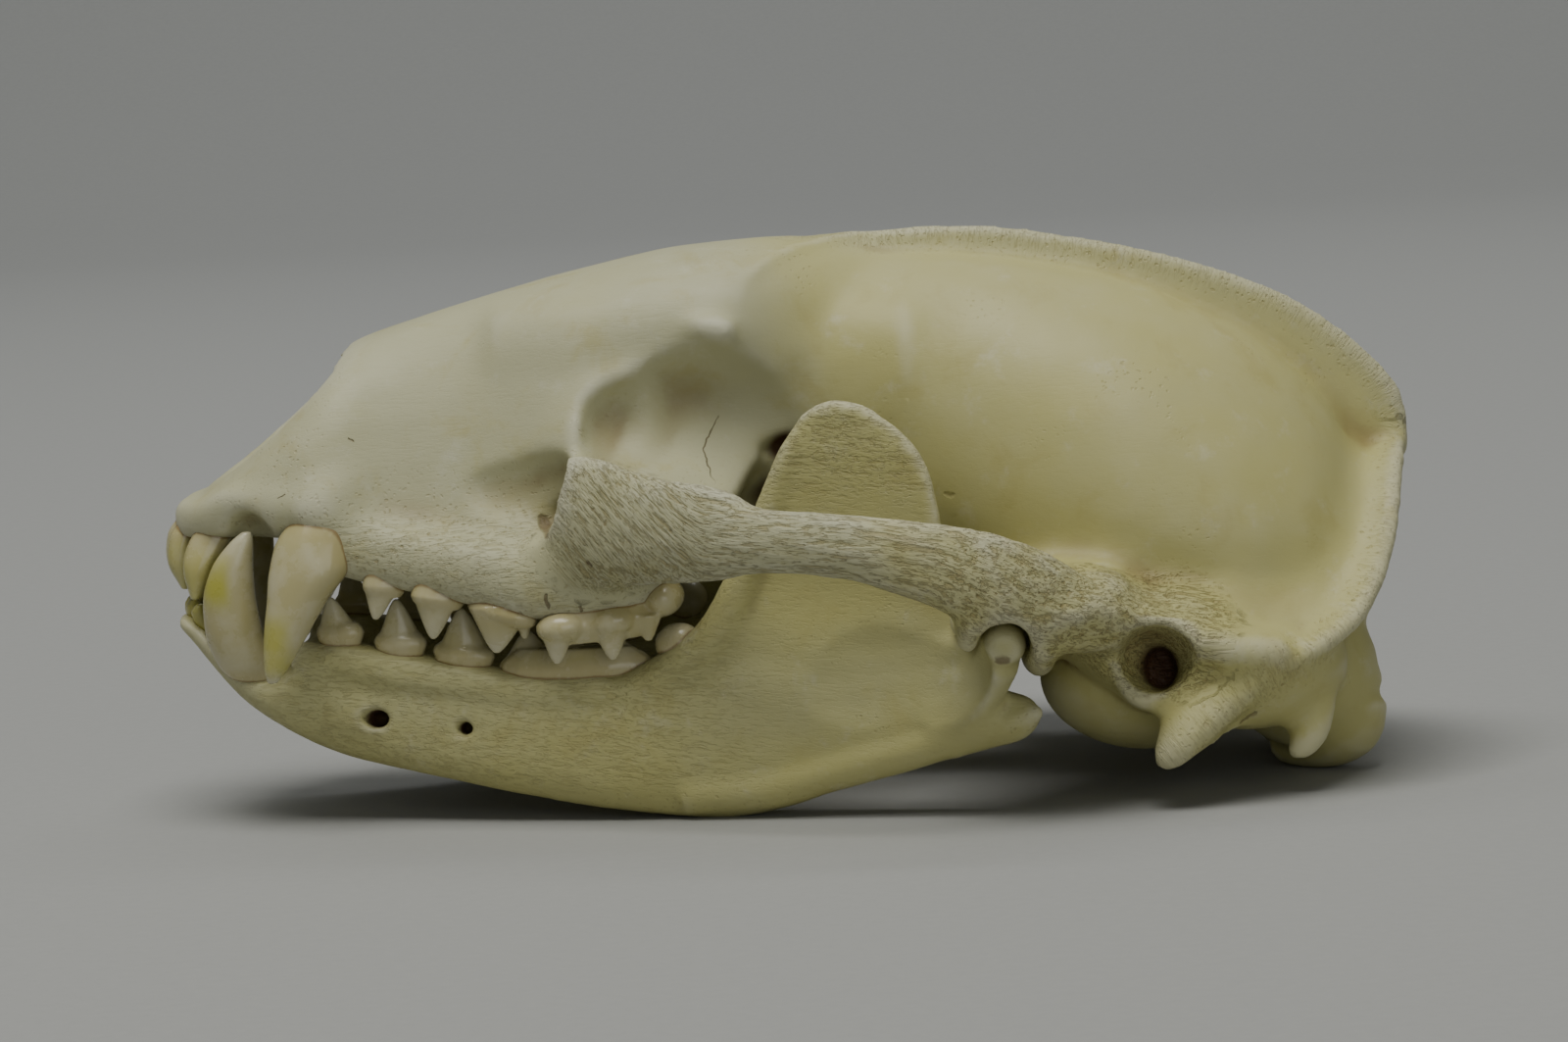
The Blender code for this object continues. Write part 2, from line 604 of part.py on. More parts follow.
def temple_line():
    edge = [(-4.8, -17.0, 48.9), (-4.6, -15.9, 50.2), (-3.8, -14.0, 53.0), (-1.6, -10.4, 55.6), (1.2, -6.6, 57.0),
            (5.6, -2.7, 57.9), (9.4, 0.0, 58.2)]
    root = [(-7.0, -13.0, 46.5), (-7.5, -11.5, 48.5), (-7.4, -9.0, 50.0), (-5.4, -6.0, 51.5), (-2.4, -4.0, 52.5),
            (3.0, -1.5, 53.0), (8.0, 0.0, 54.0)]
    return ridge("temple_line", edge, root, 0.5, 2.2)


def openings():
    """What is cut from the cranium's skin: nose, palate, throat, ears, jaw sockets, neck and nerve openings."""
    nose = swept("nose_cut", [(-72.0, 0, 38.6, 4.0, 7.2), (-60.0, 0, 39.8, 4.4, 7.8), (-52.0, 0, 42.6, 4.8, 8.4),
                              (-46.0, 0, 43.4, 4.6, 7.8), (-38.0, 0, 42.6, 4.4, 6.8), (-31.0, 0, 41.6, 2.0, 3.0)],
                 square=2.4)
    palate = swept("palate_cut", [(-62.0, 0, 27.6, 1.4, 4.0), (-58.0, 0, 27.6, 2.4, 6.8), (-50.0, 0, 26.6, 3.2, 8.8),
                                  (-40.0, 0, 23.4, 4.4, 10.0), (-28.0, 0, 20.4, 5.2, 11.6), (-18.0, 0, 19.6, 5.6, 12.0),
                                  (-10.0, 0, 20.0, 5.0, 11.4), (-4.0, 0, 20.6, 4.4, 8.0)], square=2.8)
    throat = swept("throat_cut", [(24.0, 0, 14.6, 1.6, 3.6), (14.0, 0, 18.0, 2.8, 5.4), (7.0, 0, 21.6, 3.4, 5.4),
                                  (2.0, 0, 24.6, 2.6, 5.2), (-6.0, 0, 28.6, 1.6, 3.6)], square=2.4)
    neck = ellipsoid("neck_cut", (59.5, 0, 12.6), (12.0, 7.0, 5.2), (0, 14, 0))
    hollow = swept("cheek_hollow", [(-35.5, -19.5, 34.8, 2.4, 4.5), (-31.0, -20.4, 34.4, 4.2, 5.2),
                                    (-27.0, -21.4, 33.9, 5.0, 5.0), (-24.6, -22.2, 33.6, 5.0, 4.7),
                                    (-23.2, -22.4, 33.4, 4.1, 4.0), (-22.6, -22.6, 33.3, 2.4, 2.6)])
    canal = swept("cheek_canal", [(-26.0, -18.4, 31.4, 1.3, 1.4), (-23.4, -17.6, 31.8, 1.4, 1.4),
                                  (-20.2, -16.8, 32.4, 1.2, 1.1)])
    ear = swept("ear_cut", [(36.0, -34.0, 15.6, 4.0, 4.4), (36.2, -28.0, 14.7, 3.2, 3.6), (36.9, -24.6, 13.5, 2.2, 1.7),
                            (37.1, -19.0, 13.1, 2.0, 1.5)])
    socket = swept("jaw_socket_cut", [(20.9, -40.0, 18.0, 2.75, 2.75), (20.9, -35.0, 18.0, 2.75, 2.75),
                                      (20.8, -17.6, 17.8, 2.6, 2.6)])
    notch = ellipsoid("canine_notch", (-55.8, -13.4, 29.8), (2.9, 3.8, 3.4))
    optic = swept("optic_cut", [(-2.4, -13.0, 36.4, 1.0, 1.0), (2.0, -9.5, 37.0, 1.1, 1.1), (6.0, -6.0, 37.4, 0.8, 0.8)])
    fissure = swept("fissure_cut", [(-8.0, -14.5, 31.0, 1.6, 1.4), (2.0, -9.5, 31.0, 2.0, 1.8), (9.0, -6.5, 30.6, 1.2, 1.0)])
    sides = []
    for cut in (hollow, canal, ear, socket, notch, optic, fissure):
        sides += pair(cut)
    return [nose, palate, throat, neck, *sides]


def cranium_skin():
    """The whole cranium as one skin, with its openings cut and their rims softened."""
    masses = [snout_mass(), forehead_mass(), orbit_wall_mass(), cheek_tooth_mass(), palate_mass(), brain_mass(),
              skull_base_mass()]
    for side in (orbit_front_mass, tooth_ridge, canine_root_bulge, ear_mass, neck_side_mass, condyle_root,
                 jaw_socket_mass, ear_shelf, ear_roof_mass, nuchal_foot):
        masses += pair(side())
    body = fused("cranium_masses", masses, MASS_VOXEL, 4)
    body = fused("cranium_masses", [combined(body, pair(cheek_dip()), "DIFFERENCE")], MASS_VOXEL, 7)
    details = [combined(body, pair(orbit_cut()), "DIFFERENCE"), sagittal_crest()]
    for side in (nuchal_crest, temple_line, brow_corner, front_tooth_ridge, cheek_root, cheek_arch, front_lip, back_lip,
                 ear_tube, mastoid, paroccipital, neck_condyle, pterygoid):
        details += pair(side())
    skin = fused("cranium", details, BONE_VOXEL, 3)
    skin = combined(skin, openings() + pair(cheek_inner_cut()), "DIFFERENCE")
    return fused("cranium", [skin], BONE_VOXEL, 3)


# Lower jaw, left half

JAW_BORDER = [
    (-64.2, 20.6), (-63.6, 20.0), (-59.7, 15.2), (-55.8, 11.5), (-47.6, 7.0), (-37.3, 4.5), (-27.1, 2.3),
    (-17.0, 0.6), (-8.0, -0.15), (-2.0, 0.7), (3.1, 2.4), (8.2, 3.8),
]
JAW_TOOTH_LINE = [
    (-64.2, 22.0), (-62.0, 21.2), (-58.2, 16.8), (-53.9, 15.8), (-48.1, 19.0), (-41.5, 18.0), (-37.4, 17.3),
    (-31.4, 15.8), (-24.4, 14.2), (-19.4, 13.8), (-14.8, 15.2), (-9.9, 16.6), (0.0, 18.0), (8.2, 18.0),
]


def jaw_body():
    middle = [(-64.2, -3.6), (-60.0, -5.4), (-55.0, -7.4), (-50.0, -8.8), (-45.0, -10.2), (-38.0, -12.4),
              (-30.0, -14.6), (-20.0, -16.9), (-10.0, -19.2), (0.0, -21.6), (8.2, -23.8)]
    low = [(-64.2, 3.0), (-60.0, 4.0), (-55.0, 4.6), (-50.0, 4.2), (-45.0, 3.9), (-38.0, 3.7), (-30.0, 3.7),
           (-20.0, 3.7), (-10.0, 3.2), (0.0, 2.6), (8.2, 2.0)]
    high = [(-64.2, 3.2), (-60.0, 5.0), (-55.0, 5.4), (-50.0, 4.4), (-45.0, 3.2), (-38.0, 2.9), (-30.0, 3.1),
            (-20.0, 3.2), (-10.0, 2.8), (0.0, 2.2), (8.2, 1.6)]
    return hull_loft("jaw_body", -64.2, 8.2, JAW_TOOTH_LINE, JAW_BORDER, low, high, middle=middle, square=2.5)


def chin_mass():
    """Fills the jaw in to the middle line, where the two halves meet."""
    top = [(-63.8, 21.4), (-60.0, 19.0), (-54.0, 16.8), (-46.0, 15.6), (-38.0, 12.0)]
    bottom = [(-63.8, 20.2), (-60.0, 15.6), (-54.0, 10.8), (-46.0, 7.6), (-38.0, 6.8)]
    half = [(-63.8, 3.0), (-60.0, 5.4), (-54.0, 7.4), (-46.0, 8.6), (-38.0, 6.0)]
    middle = [(-63.8, -1.6), (-60.0, -3.0), (-54.0, -4.4), (-46.0, -5.6), (-38.0, -9.0)]
    return hull_loft("chin_mass", -63.8, -38.0, top, bottom, half, half, middle=middle, square=2.6)


def ramus_y(x, z):
    """How far out the ramus plate stands, which leans outwards toward the back and a little toward the top."""
    return -(21.2 + 0.27 * x + 0.035 * (z - 10.0))


def ramus():
    outline = [(-14.0, 12.0), (-9.6, 16.4), (-7.3, 19.6), (-4.9, 24.4), (-2.0, 31.6), (0.2, 38.4), (3.0, 41.9),
               (6.6, 42.4), (10.6, 40.3), (13.7, 36.8), (15.1, 32.0), (15.6, 26.0), (16.4, 21.4), (19.6, 18.0),
               (19.8, 13.4), (24.2, 10.9), (23.8, 8.6), (19.0, 6.6), (12.0, 5.0), (4.0, 3.6), (-6.0, 3.4)]
    obj = plate("ramus", outline, 1.9, 1.2, ramus_y)
    thickness = through([(3.0, 1.25), (14.0, 1.1), (24.0, 0.8), (34.0, 0.62), (42.5, 0.5)])
    for v in obj.data.vertices:
        centre = ramus_y(v.co.x, v.co.z)
        v.co.y = centre + (v.co.y - centre) * float(thickness(v.co.z)[0])
    return obj


def ramus_edges():
    """The thick edges round the hollow for the chewing muscle: front of the ramus, lower border and neck."""
    front = swept("front_edge", [(-17.0, -18.4, 12.4, 2.6, 2.2), (-8.6, -20.2, 18.0, 2.3, 1.9), (-4.4, -21.6, 25.4, 1.9, 1.6),
                                 (-1.4, -22.4, 32.4, 1.6, 1.3), (1.0, -22.8, 38.0, 1.2, 1.0), (4.6, -23.2, 41.0, 0.9, 0.8)])
    lower = swept("lower_edge", [(-12.0, -19.6, 2.6, 2.4, 2.4), (-4.0, -21.4, 3.0, 2.3, 2.3), (4.0, -23.3, 4.9, 2.2, 2.1),
                                 (12.0, -25.6, 6.8, 2.0, 1.9), (19.0, -28.0, 8.9, 1.9, 1.7), (23.4, -29.2, 10.0, 1.1, 1.2)])
    neck = swept("neck_edge", [(6.0, -22.6, 14.0, 2.2, 1.6), (13.0, -25.0, 16.4, 2.2, 1.9), (18.0, -26.6, 17.4, 2.2, 2.6)])
    return [front, lower, neck]


def jaw_condyle():
    x, y, z = CONDYLE_CENTRE
    knots = [(x - 0.2, y + 9.8, z - 0.4, 1.0, 1.0), (x - 0.1, y + 8.2, z - 0.2, 2.0, 1.9),
             (x, y, z, CONDYLE_RADIUS, CONDYLE_RADIUS), (x, y - 7.4, z, 2.2, 2.2), (x, y - 8.8, z - 0.2, 1.2, 1.2)]
    return swept("jaw_condyle", knots)


def jaw_cuts():
    hollow = ellipsoid("muscle_hollow", (6.6, -29.5, 14.6), (12.8, 5.6, 9.8), (0, -6, -14))
    large = swept("front_hole", [(-44.4, -16.4, 11.6, 0.95, 1.5), (-42.4, -11.0, 10.5, 0.9, 1.3)])
    small = swept("back_hole", [(-34.9, -18.8, 10.2, 0.75, 1.05), (-33.4, -13.0, 9.6, 0.7, 0.9)])
    return [hollow, large, small]


def jaw_skin():
    masses = [jaw_body(), chin_mass(), ramus(), *ramus_edges(), jaw_condyle()]
    skin = fused("mandible_left", masses, JAW_VOXEL, 3)
    skin = combined(skin, jaw_cuts(), "DIFFERENCE")
    return fused("mandible_left", [skin], JAW_VOXEL, 2)


# Teeth, left side. Heights run from the gum to the tip: down for the upper ones and up for the lower ones.

ROOT = 2.4


def cusp(name, base, tip, base_half, tip_half=0.3, belly=0.55):
    """A cone from base to tip, whose rings lie flat. base and tip are (x, y, z); halves are along X and Y."""
    (bx, by, bz), (tx, ty, tz) = base, tip
    knots = []
    for share, size in ((0.0, 1.0), (0.45, belly), (0.86, 0.2), (1.0, 0.0)):
        x, y, z = bx + (tx - bx) * share, by + (ty - by) * share, bz + (tz - bz) * share
        half = [tip_half + (b - tip_half) * size for b in base_half]
        knots.append((x, y, z, *half))
    return swept(name, knots, sides=12, step=0.5, level=True)


def crown_base(name, front, back, y, half_width, gum, way, slope=0.0, height=2.0, twist=0.0):
    """The waist of a cheek tooth with its root stub. way is +1 for teeth that point up, and -1 for those down."""
    middle, half = (front + back) / 2, (back - front) / 2
    rings = [(-ROOT, 0.62, 0.6), (-0.3, 0.88, 0.84), (height * 0.35, 1.0, 1.0), (height * 0.65, 0.94, 0.9),
             (height, 0.72, 0.6)]
    knots = [(middle, y, gum + way * lift, half * a, half_width * b) for lift, a, b in rings]
    obj = swept(name, knots, sides=16, step=0.5, level=True, square=2.3)
    for v in obj.data.vertices:
        v.co.z += (v.co.x - middle) * slope
        v.co.y += (v.co.x - middle) * twist
    return obj


def tooth(name, pieces, triangles):
    whole = fused(name, pieces, TOOTH_VOXEL, 2)
    return thinned(whole, triangles)


def upper_incisor(number, root, neck, belly, tip, half):
    """root, neck, belly and tip are (x, y, z, half length); half is half the width across the front."""
    widths = (0.65, 0.9, 1.0, 0.75)
    knots = [(x, y, z, depth, half * width) for (x, y, z, depth), width in zip((root, neck, belly, tip), widths)]
    return tooth(f"incisor_upper_{number}", [swept("incisor", knots, sides=12, step=0.6, level=True)], 48)


def lower_incisor(number, x, y, tip, half):
    knots = [(x + 2.2, y, 18.6, 0.9, half * 0.6), (x + 0.6, y, 21.0, 1.0, half * 0.8), (x + 0.2, y, 22.4, 0.95, half),
             (x + 0.2, y, tip, 0.4, half * 0.8)]
    return tooth(f"incisor_lower_{number}", [swept("incisor", knots, sides=12, step=0.6, level=True)], 36)


def upper_canine():
    knots = [(-47.4, -14.0, 33.0, 3.0, 2.0), (-48.8, -15.0, 29.6, 4.0, 2.7), (-49.2, -15.5, 27.4, 4.2, 2.8),
             (-50.7, -16.0, 24.0, 3.15, 2.5), (-52.1, -16.4, 20.4, 2.25, 1.9), (-53.3, -16.7, 16.9, 1.15, 1.1),
             (-53.7, -16.8, 15.7, 0.5, 0.5)]
    return tooth("canine_upper", [swept("canine", knots, sides=16, step=0.8, level=True)], 120)


def lower_canine():
    knots = [(-54.4, -8.8, 13.4, 2.4, 1.6), (-56.9, -10.4, 17.2, 3.0, 2.1), (-57.9, -11.2, 20.5, 2.95, 2.2),
             (-58.1, -11.7, 23.9, 2.75, 2.1), (-57.6, -12.0, 27.2, 2.2, 1.8), (-56.4, -12.2, 30.0, 1.2, 1.1),
             (-55.8, -12.3, 31.0, 0.5, 0.5)]
    return tooth("canine_lower", [swept("canine", knots, sides=16, step=0.8, level=True)], 120)


def premolar(name, front, back, y, half_width, gum, tip_x, tip_z, slope, triangles, heel=0.0, twist=0.12):
    """A tooth with one main cusp. heel adds a lower second cusp behind it, at this share of the height."""
    way = 1 if tip_z > gum else -1
    half = (back - front) / 2
    lift = gum + (tip_x - (front + back) / 2) * slope
    side = y + (tip_x - (front + back) / 2) * twist
    middle = (front + back) / 2
    pieces = [crown_base("base", front, back, y, half_width, gum, way, slope, height=1.7, twist=twist),
              cusp("main", (middle, y, lift), (tip_x, side, tip_z), (half * 0.97, half_width * 0.94), belly=0.6)]
    if heel:
        heel_x = back - half * 0.42
        pieces.append(cusp("heel", (heel_x, side + half * 0.2, gum), (heel_x, side + half * 0.2, gum + (tip_z - gum) * heel),
                           (half * 0.36, half_width * 0.7)))
    return tooth(name, pieces, triangles)


def upper_molar():
    pieces = [crown_base("base", -26.2, -13.4, -19.9, 3.0, 21.7, -1, 0.06, height=3.2),
              ellipsoid("inner_shelf", (-20.0, -15.4, 22.6), (6.0, 4.6, 2.0)),
              ellipsoid("lobe", (-13.2, -18.9, 22.8), (2.3, 3.2, 2.0), (0, -20, 0)),
              cusp("front_cusp", (-24.0, -20.6, 20.8), (-24.2, -21.2, 16.8), (2.3, 1.9)),
              cusp("back_cusp", (-18.6, -20.8, 20.8), (-18.5, -21.4, 16.9), (2.4, 1.9)),
              cusp("rear_cusp", (-15.0, -20.4, 21.4), (-14.8, -20.8, 18.6), (1.9, 1.6))]
    return tooth("molar_upper", pieces, 260)


def lower_molar():
    pieces = [crown_base("base", -30.6, -14.4, -16.4, 2.5, 14.6, 1, -0.01, height=3.2, twist=-0.1),
              cusp("front_cusp", (-27.4, -14.8, 16.4), (-27.4, -14.8, 19.6), (2.8, 1.8)),
              cusp("middle_cusp", (-23.0, -15.2, 16.4), (-23.0, -15.2, 18.9), (2.4, 1.7)),
              cusp("rear_cusp", (-18.0, -16.2, 16.0), (-17.8, -16.2, 18.4), (2.4, 1.6))]
    return tooth("molar_lower", pieces, 240)


def last_lower_molar():
    pieces = [ellipsoid("crown", (-11.8, -18.3, 17.8), (2.5, 2.1, 2.2)),
              cusp("stub", (-12.0, -18.5, 17.3), (-12.0, -18.8, 14.2), (1.8, 1.6), tip_half=1.0)]
    return tooth("molar_lower_last", pieces, 80)


def upper_teeth():
    return [upper_incisor(1, (-62.6, -1.7, 32.0, 1.2), (-63.7, -1.75, 30.0, 1.5), (-64.1, -1.8, 27.4, 1.35),
                          (-63.7, -1.8, 24.7, 0.5), 1.5),
            upper_incisor(2, (-62.0, -4.6, 32.0, 1.2), (-63.1, -5.0, 30.2, 1.5), (-63.6, -5.1, 27.5, 1.4),
                          (-63.2, -5.1, 24.6, 0.5), 1.5),
            upper_incisor(3, (-58.8, -7.8, 32.4, 1.7), (-60.2, -8.4, 29.6, 2.2), (-61.3, -8.8, 27.1, 1.75),
                          (-61.8, -8.9, 23.9, 0.6), 1.6),
            upper_canine(),
            premolar("premolar_upper_2", -44.0, -39.5, -15.8, 1.5, 25.6, -42.8, 21.6, -0.1, 80),
            premolar("premolar_upper_3", -39.0, -33.4, -17.2, 1.9, 24.3, -36.9, 19.5, -0.16, 90),
            premolar("premolar_upper_4", -33.2, -26.0, -19.0, 2.2, 22.6, -30.4, 17.9, -0.24, 130, heel=0.74,
                     twist=-0.16),
            upper_molar()]


def lower_teeth():
    return [lower_incisor(1, -63.2, -1.6, 23.4, 1.1), lower_incisor(2, -62.8, -4.1, 23.4, 1.2),
            lower_incisor(3, -62.0, -6.5, 23.0, 1.2), lower_canine(),
            premolar("premolar_lower_2", -49.4, -44.3, -12.0, 1.5, 19.4, -47.7, 23.7, -0.02, 80, heel=0.3, twist=-0.1),
            premolar("premolar_lower_3", -43.4, -37.8, -13.2, 1.7, 18.2, -40.8, 23.3, -0.06, 90, twist=-0.1),
            premolar("premolar_lower_4", -37.3, -30.8, -14.6, 1.9, 16.9, -34.1, 22.2, -0.12, 100, heel=0.3,
                     twist=-0.1),
            lower_molar(), last_lower_molar()]


# Nodes

def bulla(spare=0.0):
    radii = [r + spare for r in BULLA_RADII]
    return ellipsoid("auditory_bulla_left", BULLA_CENTRE, radii, (0, 10, 20), detail=20)


def slit(name, centre, size, turn):
    """A thin box that parts a bone."""
    half = [s / 2 for s in size]
    obj = box(name, [-h for h in half], half)
    place = Matrix.Translation(centre) @ Matrix.Rotation(math.radians(turn), 4, "Z")
    obj.data.transform(place)
    return obj


def floor_cut():
    return box("floor_cut", (-90, -60, -20), (90, 60, FLOOR))


def parted_cranium(skin):
    """The cranium in four nodes: face, braincase and the middle of each cheek arch."""
    middle = box("middle_slit", (-8.5 - GAP, -21.6, 0), (-8.5, 21.6, 80))
    front = slit("arch_front_slit", (-10.6, -28.4, 30.0), (GAP, 15.0, 16.0), -30)
    back = slit("arch_back_slit", (14.6, -38.0, 26.0), (GAP, 10.0, 20.0), 0)
    parts = loose_parts(combined(skin, [middle, *pair(front), *pair(back), floor_cut()], "DIFFERENCE"))
    nodes = {}
    for part in sorted(parts, key=lambda p: -len(p.data.polygons)):
        centre = centre_of(part)
        if abs(centre[1]) < 5:
            name = "face" if centre[0] < -8.5 else "braincase"
        else:
            name = "zygomatic_arch_left" if centre[1] < 0 else "zygomatic_arch_right"
        if name in nodes:
            bpy.data.objects.remove(part)
        else:
            nodes[name] = part
            part.name = name
    return nodes


def finish(obj, material):
    obj.data.transform(Matrix.Scale(MM, 4))
    obj.data.materials.clear()
    obj.data.materials.append(material)


def bone_material():
    material = bpy.data.materials.new("bone")
    material.use_nodes = True
    shader = material.node_tree.nodes["Principled BSDF"]
    shader.inputs["Base Color"].default_value = BONE_COLOUR
    shader.inputs["Roughness"].default_value = BONE_ROUGHNESS
    shader.inputs["Metallic"].default_value = 0.0
    return material


def main():
    clear_scene()
    jaw = thinned(jaw_skin(), JAW_TRIANGLES)
    skin = thinned(cranium_skin(), CRANIUM_TRIANGLES)
    skin = combined(skin, pair(bulla(GAP)) + pair(grown(jaw, JAW_CLEARANCE)), "DIFFERENCE")
    nodes = parted_cranium(skin)
    left = upper_teeth()
    right = [mirrored(t) for t in left]
    nodes["face"] = combined(nodes["face"], left + right, "UNION")
    jaw = combined(jaw, lower_teeth(), "UNION")
    jaw = combined(jaw, [box("midline_cut", (-90, -GAP / 2, -20), (90, 40, 80)), floor_cut()], "DIFFERENCE")
    nodes["mandible_left"] = jaw
    nodes["mandible_right"] = mirrored(jaw, "mandible_right")
    nodes["auditory_bulla_left"] = bulla()
    nodes["auditory_bulla_right"] = mirrored(nodes["auditory_bulla_left"], "auditory_bulla_right")
    bone = bone_material()
    for name, node in nodes.items():
        whole = largest_part(node)
        whole.name = name
        finish(whole, bone)


main()
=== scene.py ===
"""The looks of the badger skull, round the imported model.

Each bone and tooth is built again from the same named sizes as the solids, with a finer skin, and takes
the place of the solids' nodes. Shapes are in millimetres until a piece is finished, which scales it to
metres. The surfaces get their colour and grain from values that the script works out for each point.
"""

import math

import bmesh
import bpy
import numpy as np
from mathutils import Matrix, Vector
from mathutils.bvhtree import BVHTree
from mathutils.noise import noise as noise_at


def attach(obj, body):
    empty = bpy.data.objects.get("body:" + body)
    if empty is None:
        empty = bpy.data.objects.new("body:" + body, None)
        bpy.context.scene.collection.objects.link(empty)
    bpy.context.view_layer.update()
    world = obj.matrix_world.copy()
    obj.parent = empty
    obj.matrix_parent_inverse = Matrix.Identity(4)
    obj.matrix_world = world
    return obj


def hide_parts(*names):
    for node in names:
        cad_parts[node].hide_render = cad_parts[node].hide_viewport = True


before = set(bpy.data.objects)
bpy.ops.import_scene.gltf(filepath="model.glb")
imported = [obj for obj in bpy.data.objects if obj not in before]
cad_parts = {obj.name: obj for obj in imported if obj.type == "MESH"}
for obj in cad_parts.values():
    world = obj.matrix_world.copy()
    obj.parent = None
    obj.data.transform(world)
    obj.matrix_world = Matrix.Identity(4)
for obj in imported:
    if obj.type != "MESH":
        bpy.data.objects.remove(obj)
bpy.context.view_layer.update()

MM = 0.001

# Driving sizes, in millimetres
GAP = 0.3
FLOOR = 0.0
JAW_CLEARANCE = 0.35
MASS_VOXEL = 0.8
BONE_VOXEL = 0.55
SKIN_VOXEL = 0.42
JAW_VOXEL = 0.42
JAW_SKIN_VOXEL = 0.34
TOOTH_VOXEL = 0.17
CRANIUM_TRIANGLES = 195000
JAW_TRIANGLES = 90000
SCRAP_POINTS = 30

# Rounds of softening for each skin
MASS_SOFTENING = 4
DIP_SOFTENING = 7
SKIN_SOFTENING = 3
JAW_SOFTENING = 2
TOOTH_SOFTENING = 6

# Rounds of softening that show the creases and the wide hollows, in which the materials paint shade
CREASE_ROUNDS = 14
HOLLOW_ROUNDS = 150
TOOTH_CREASE_ROUNDS = 12

CONDYLE_RADIUS = 2.3
CONDYLE_CENTRE = (20.9, -27.0, 18.0)
BULLA_CENTRE = (35.0, -15.6, 11.2)
BULLA_RADII = (10.4, 8.2, 7.0)


def through(knots):
    """A smooth function that passes through a few (position, value, ...) rows and never overshoots."""
    table = np.array(knots, float)
    xs, ys = table[:, 0], table[:, 1:]
    rise = np.diff(ys, axis=0) / np.diff(xs)[:, None]
    product = rise[1:] * rise[:-1]
    total = np.where(rise[1:] + rise[:-1] == 0, 1.0, rise[1:] + rise[:-1])
    inner = np.where(product > 0, 2 * product / total, 0.0)
    slope = np.vstack([rise[:1], inner, rise[-1:]])

    def value(at):
        at = np.clip(np.asarray(at, float), xs[0], xs[-1])
        i = np.clip(np.searchsorted(xs, at) - 1, 0, len(xs) - 2)
        h = (xs[i + 1] - xs[i])[..., None]
        t = (at[..., None] - xs[i][..., None]) / h
        return (
            (2 * t**3 - 3 * t**2 + 1) * ys[i]
            + (t**3 - 2 * t**2 + t) * h * slope[i]
            + (3 * t**2 - 2 * t**3) * ys[i + 1]
            + (t**3 - t**2) * h * slope[i + 1]
        )

    return value


def smooth_path(knots):
    """Rows of knots as a smooth curve, by the distance along their first three columns."""
    table = np.array(knots, float)
    steps = np.linalg.norm(np.diff(table[:, :3], axis=0), axis=1)
    along = np.concatenate([[0.0], np.cumsum(steps)])
    return through(np.column_stack([along, table])), along[-1]


def signed_power(value, power):
    return np.sign(value) * np.abs(value) ** power


def linked(name, data):
    obj = bpy.data.objects.new(name, data)
    bpy.context.collection.objects.link(obj)
    return obj


def object_of(name, points, faces):
    mesh = bpy.data.meshes.new(name)
    mesh.from_pydata([tuple(map(float, p)) for p in points], [], faces)
    made = bmesh.new()
    made.from_mesh(mesh)
    bmesh.ops.recalc_face_normals(made, faces=made.faces)
    made.to_mesh(mesh)
    made.free()
    return linked(name, mesh)


def lofted(name, rings):
    """A closed body through rings, an array of (ring, point, xyz), with flat ends."""
    count, sides = rings.shape[:2]
    faces = [tuple(range(sides)), tuple(range((count - 1) * sides, count * sides))]
    for r in range(count - 1):
        for s in range(sides):
            a, b = r * sides + s, r * sides + (s + 1) % sides
            faces.append((a, b, b + sides, a + sides))
    return object_of(name, rings.reshape(-1, 3), faces)


def hull_loft(name, start, end, top, bottom, low, high, middle=None, square=2.6, flat=None,
              step=1.5, sides=36):
    """A body along X. top and bottom are its outline from the side, low and high its half widths there, and
    square and flat say how boxy its sections are in their upper and lower half."""
    top, bottom, low, high = (through(k) for k in (top, bottom, low, high))
    middle = through(middle) if middle else (lambda x: np.zeros((len(x), 1)))
    xs = np.linspace(start, end, max(4, int(abs(end - start) / step)))
    angle = np.linspace(0, 2 * math.pi, sides, endpoint=False)
    power = 2 / np.where(np.cos(angle) > 0, square, flat or square)
    up = signed_power(np.cos(angle), power)
    out = signed_power(np.sin(angle), power)
    t, b = top(xs), bottom(xs)
    z = (t + b) / 2 + (t - b) / 2 * up
    half = low(xs) + (high(xs) - low(xs)) * (1 + up) / 2
    y = middle(xs) + half * out
    x = np.broadcast_to(xs[:, None], z.shape)
    return lofted(name, np.stack([x, y, z], axis=2))


def swept(name, knots, sides=20, step=1.2, level=False, square=2.0):
    """A body along a path of (x, y, z, half height, half thickness) knots. Level rings lie flat."""
    path, length = smooth_path(knots)
    s = np.linspace(0, length, max(4, int(length / step)))
    rows = path(s)
    centre = rows[:, :3]
    tangent = np.gradient(centre, axis=0)
    tangent /= np.linalg.norm(tangent, axis=1, keepdims=True)
    if level:
        up = np.tile([1.0, 0.0, 0.0], (len(s), 1))
        side = np.tile([0.0, 1.0, 0.0], (len(s), 1))
    else:
        side = np.cross(tangent, [0.0, 0.0, 1.0])
        side /= np.linalg.norm(side, axis=1, keepdims=True)
        up = np.cross(side, tangent)
    angle = np.linspace(0, 2 * math.pi, sides, endpoint=False)
    a = signed_power(np.cos(angle), 2 / square)[None, :, None]
    b = signed_power(np.sin(angle), 2 / square)[None, :, None]
    rings = centre[:, None] + up[:, None] * a * rows[:, 3][:, None, None]
    rings = rings + side[:, None] * b * rows[:, 4][:, None, None]
    return lofted(name, rings)


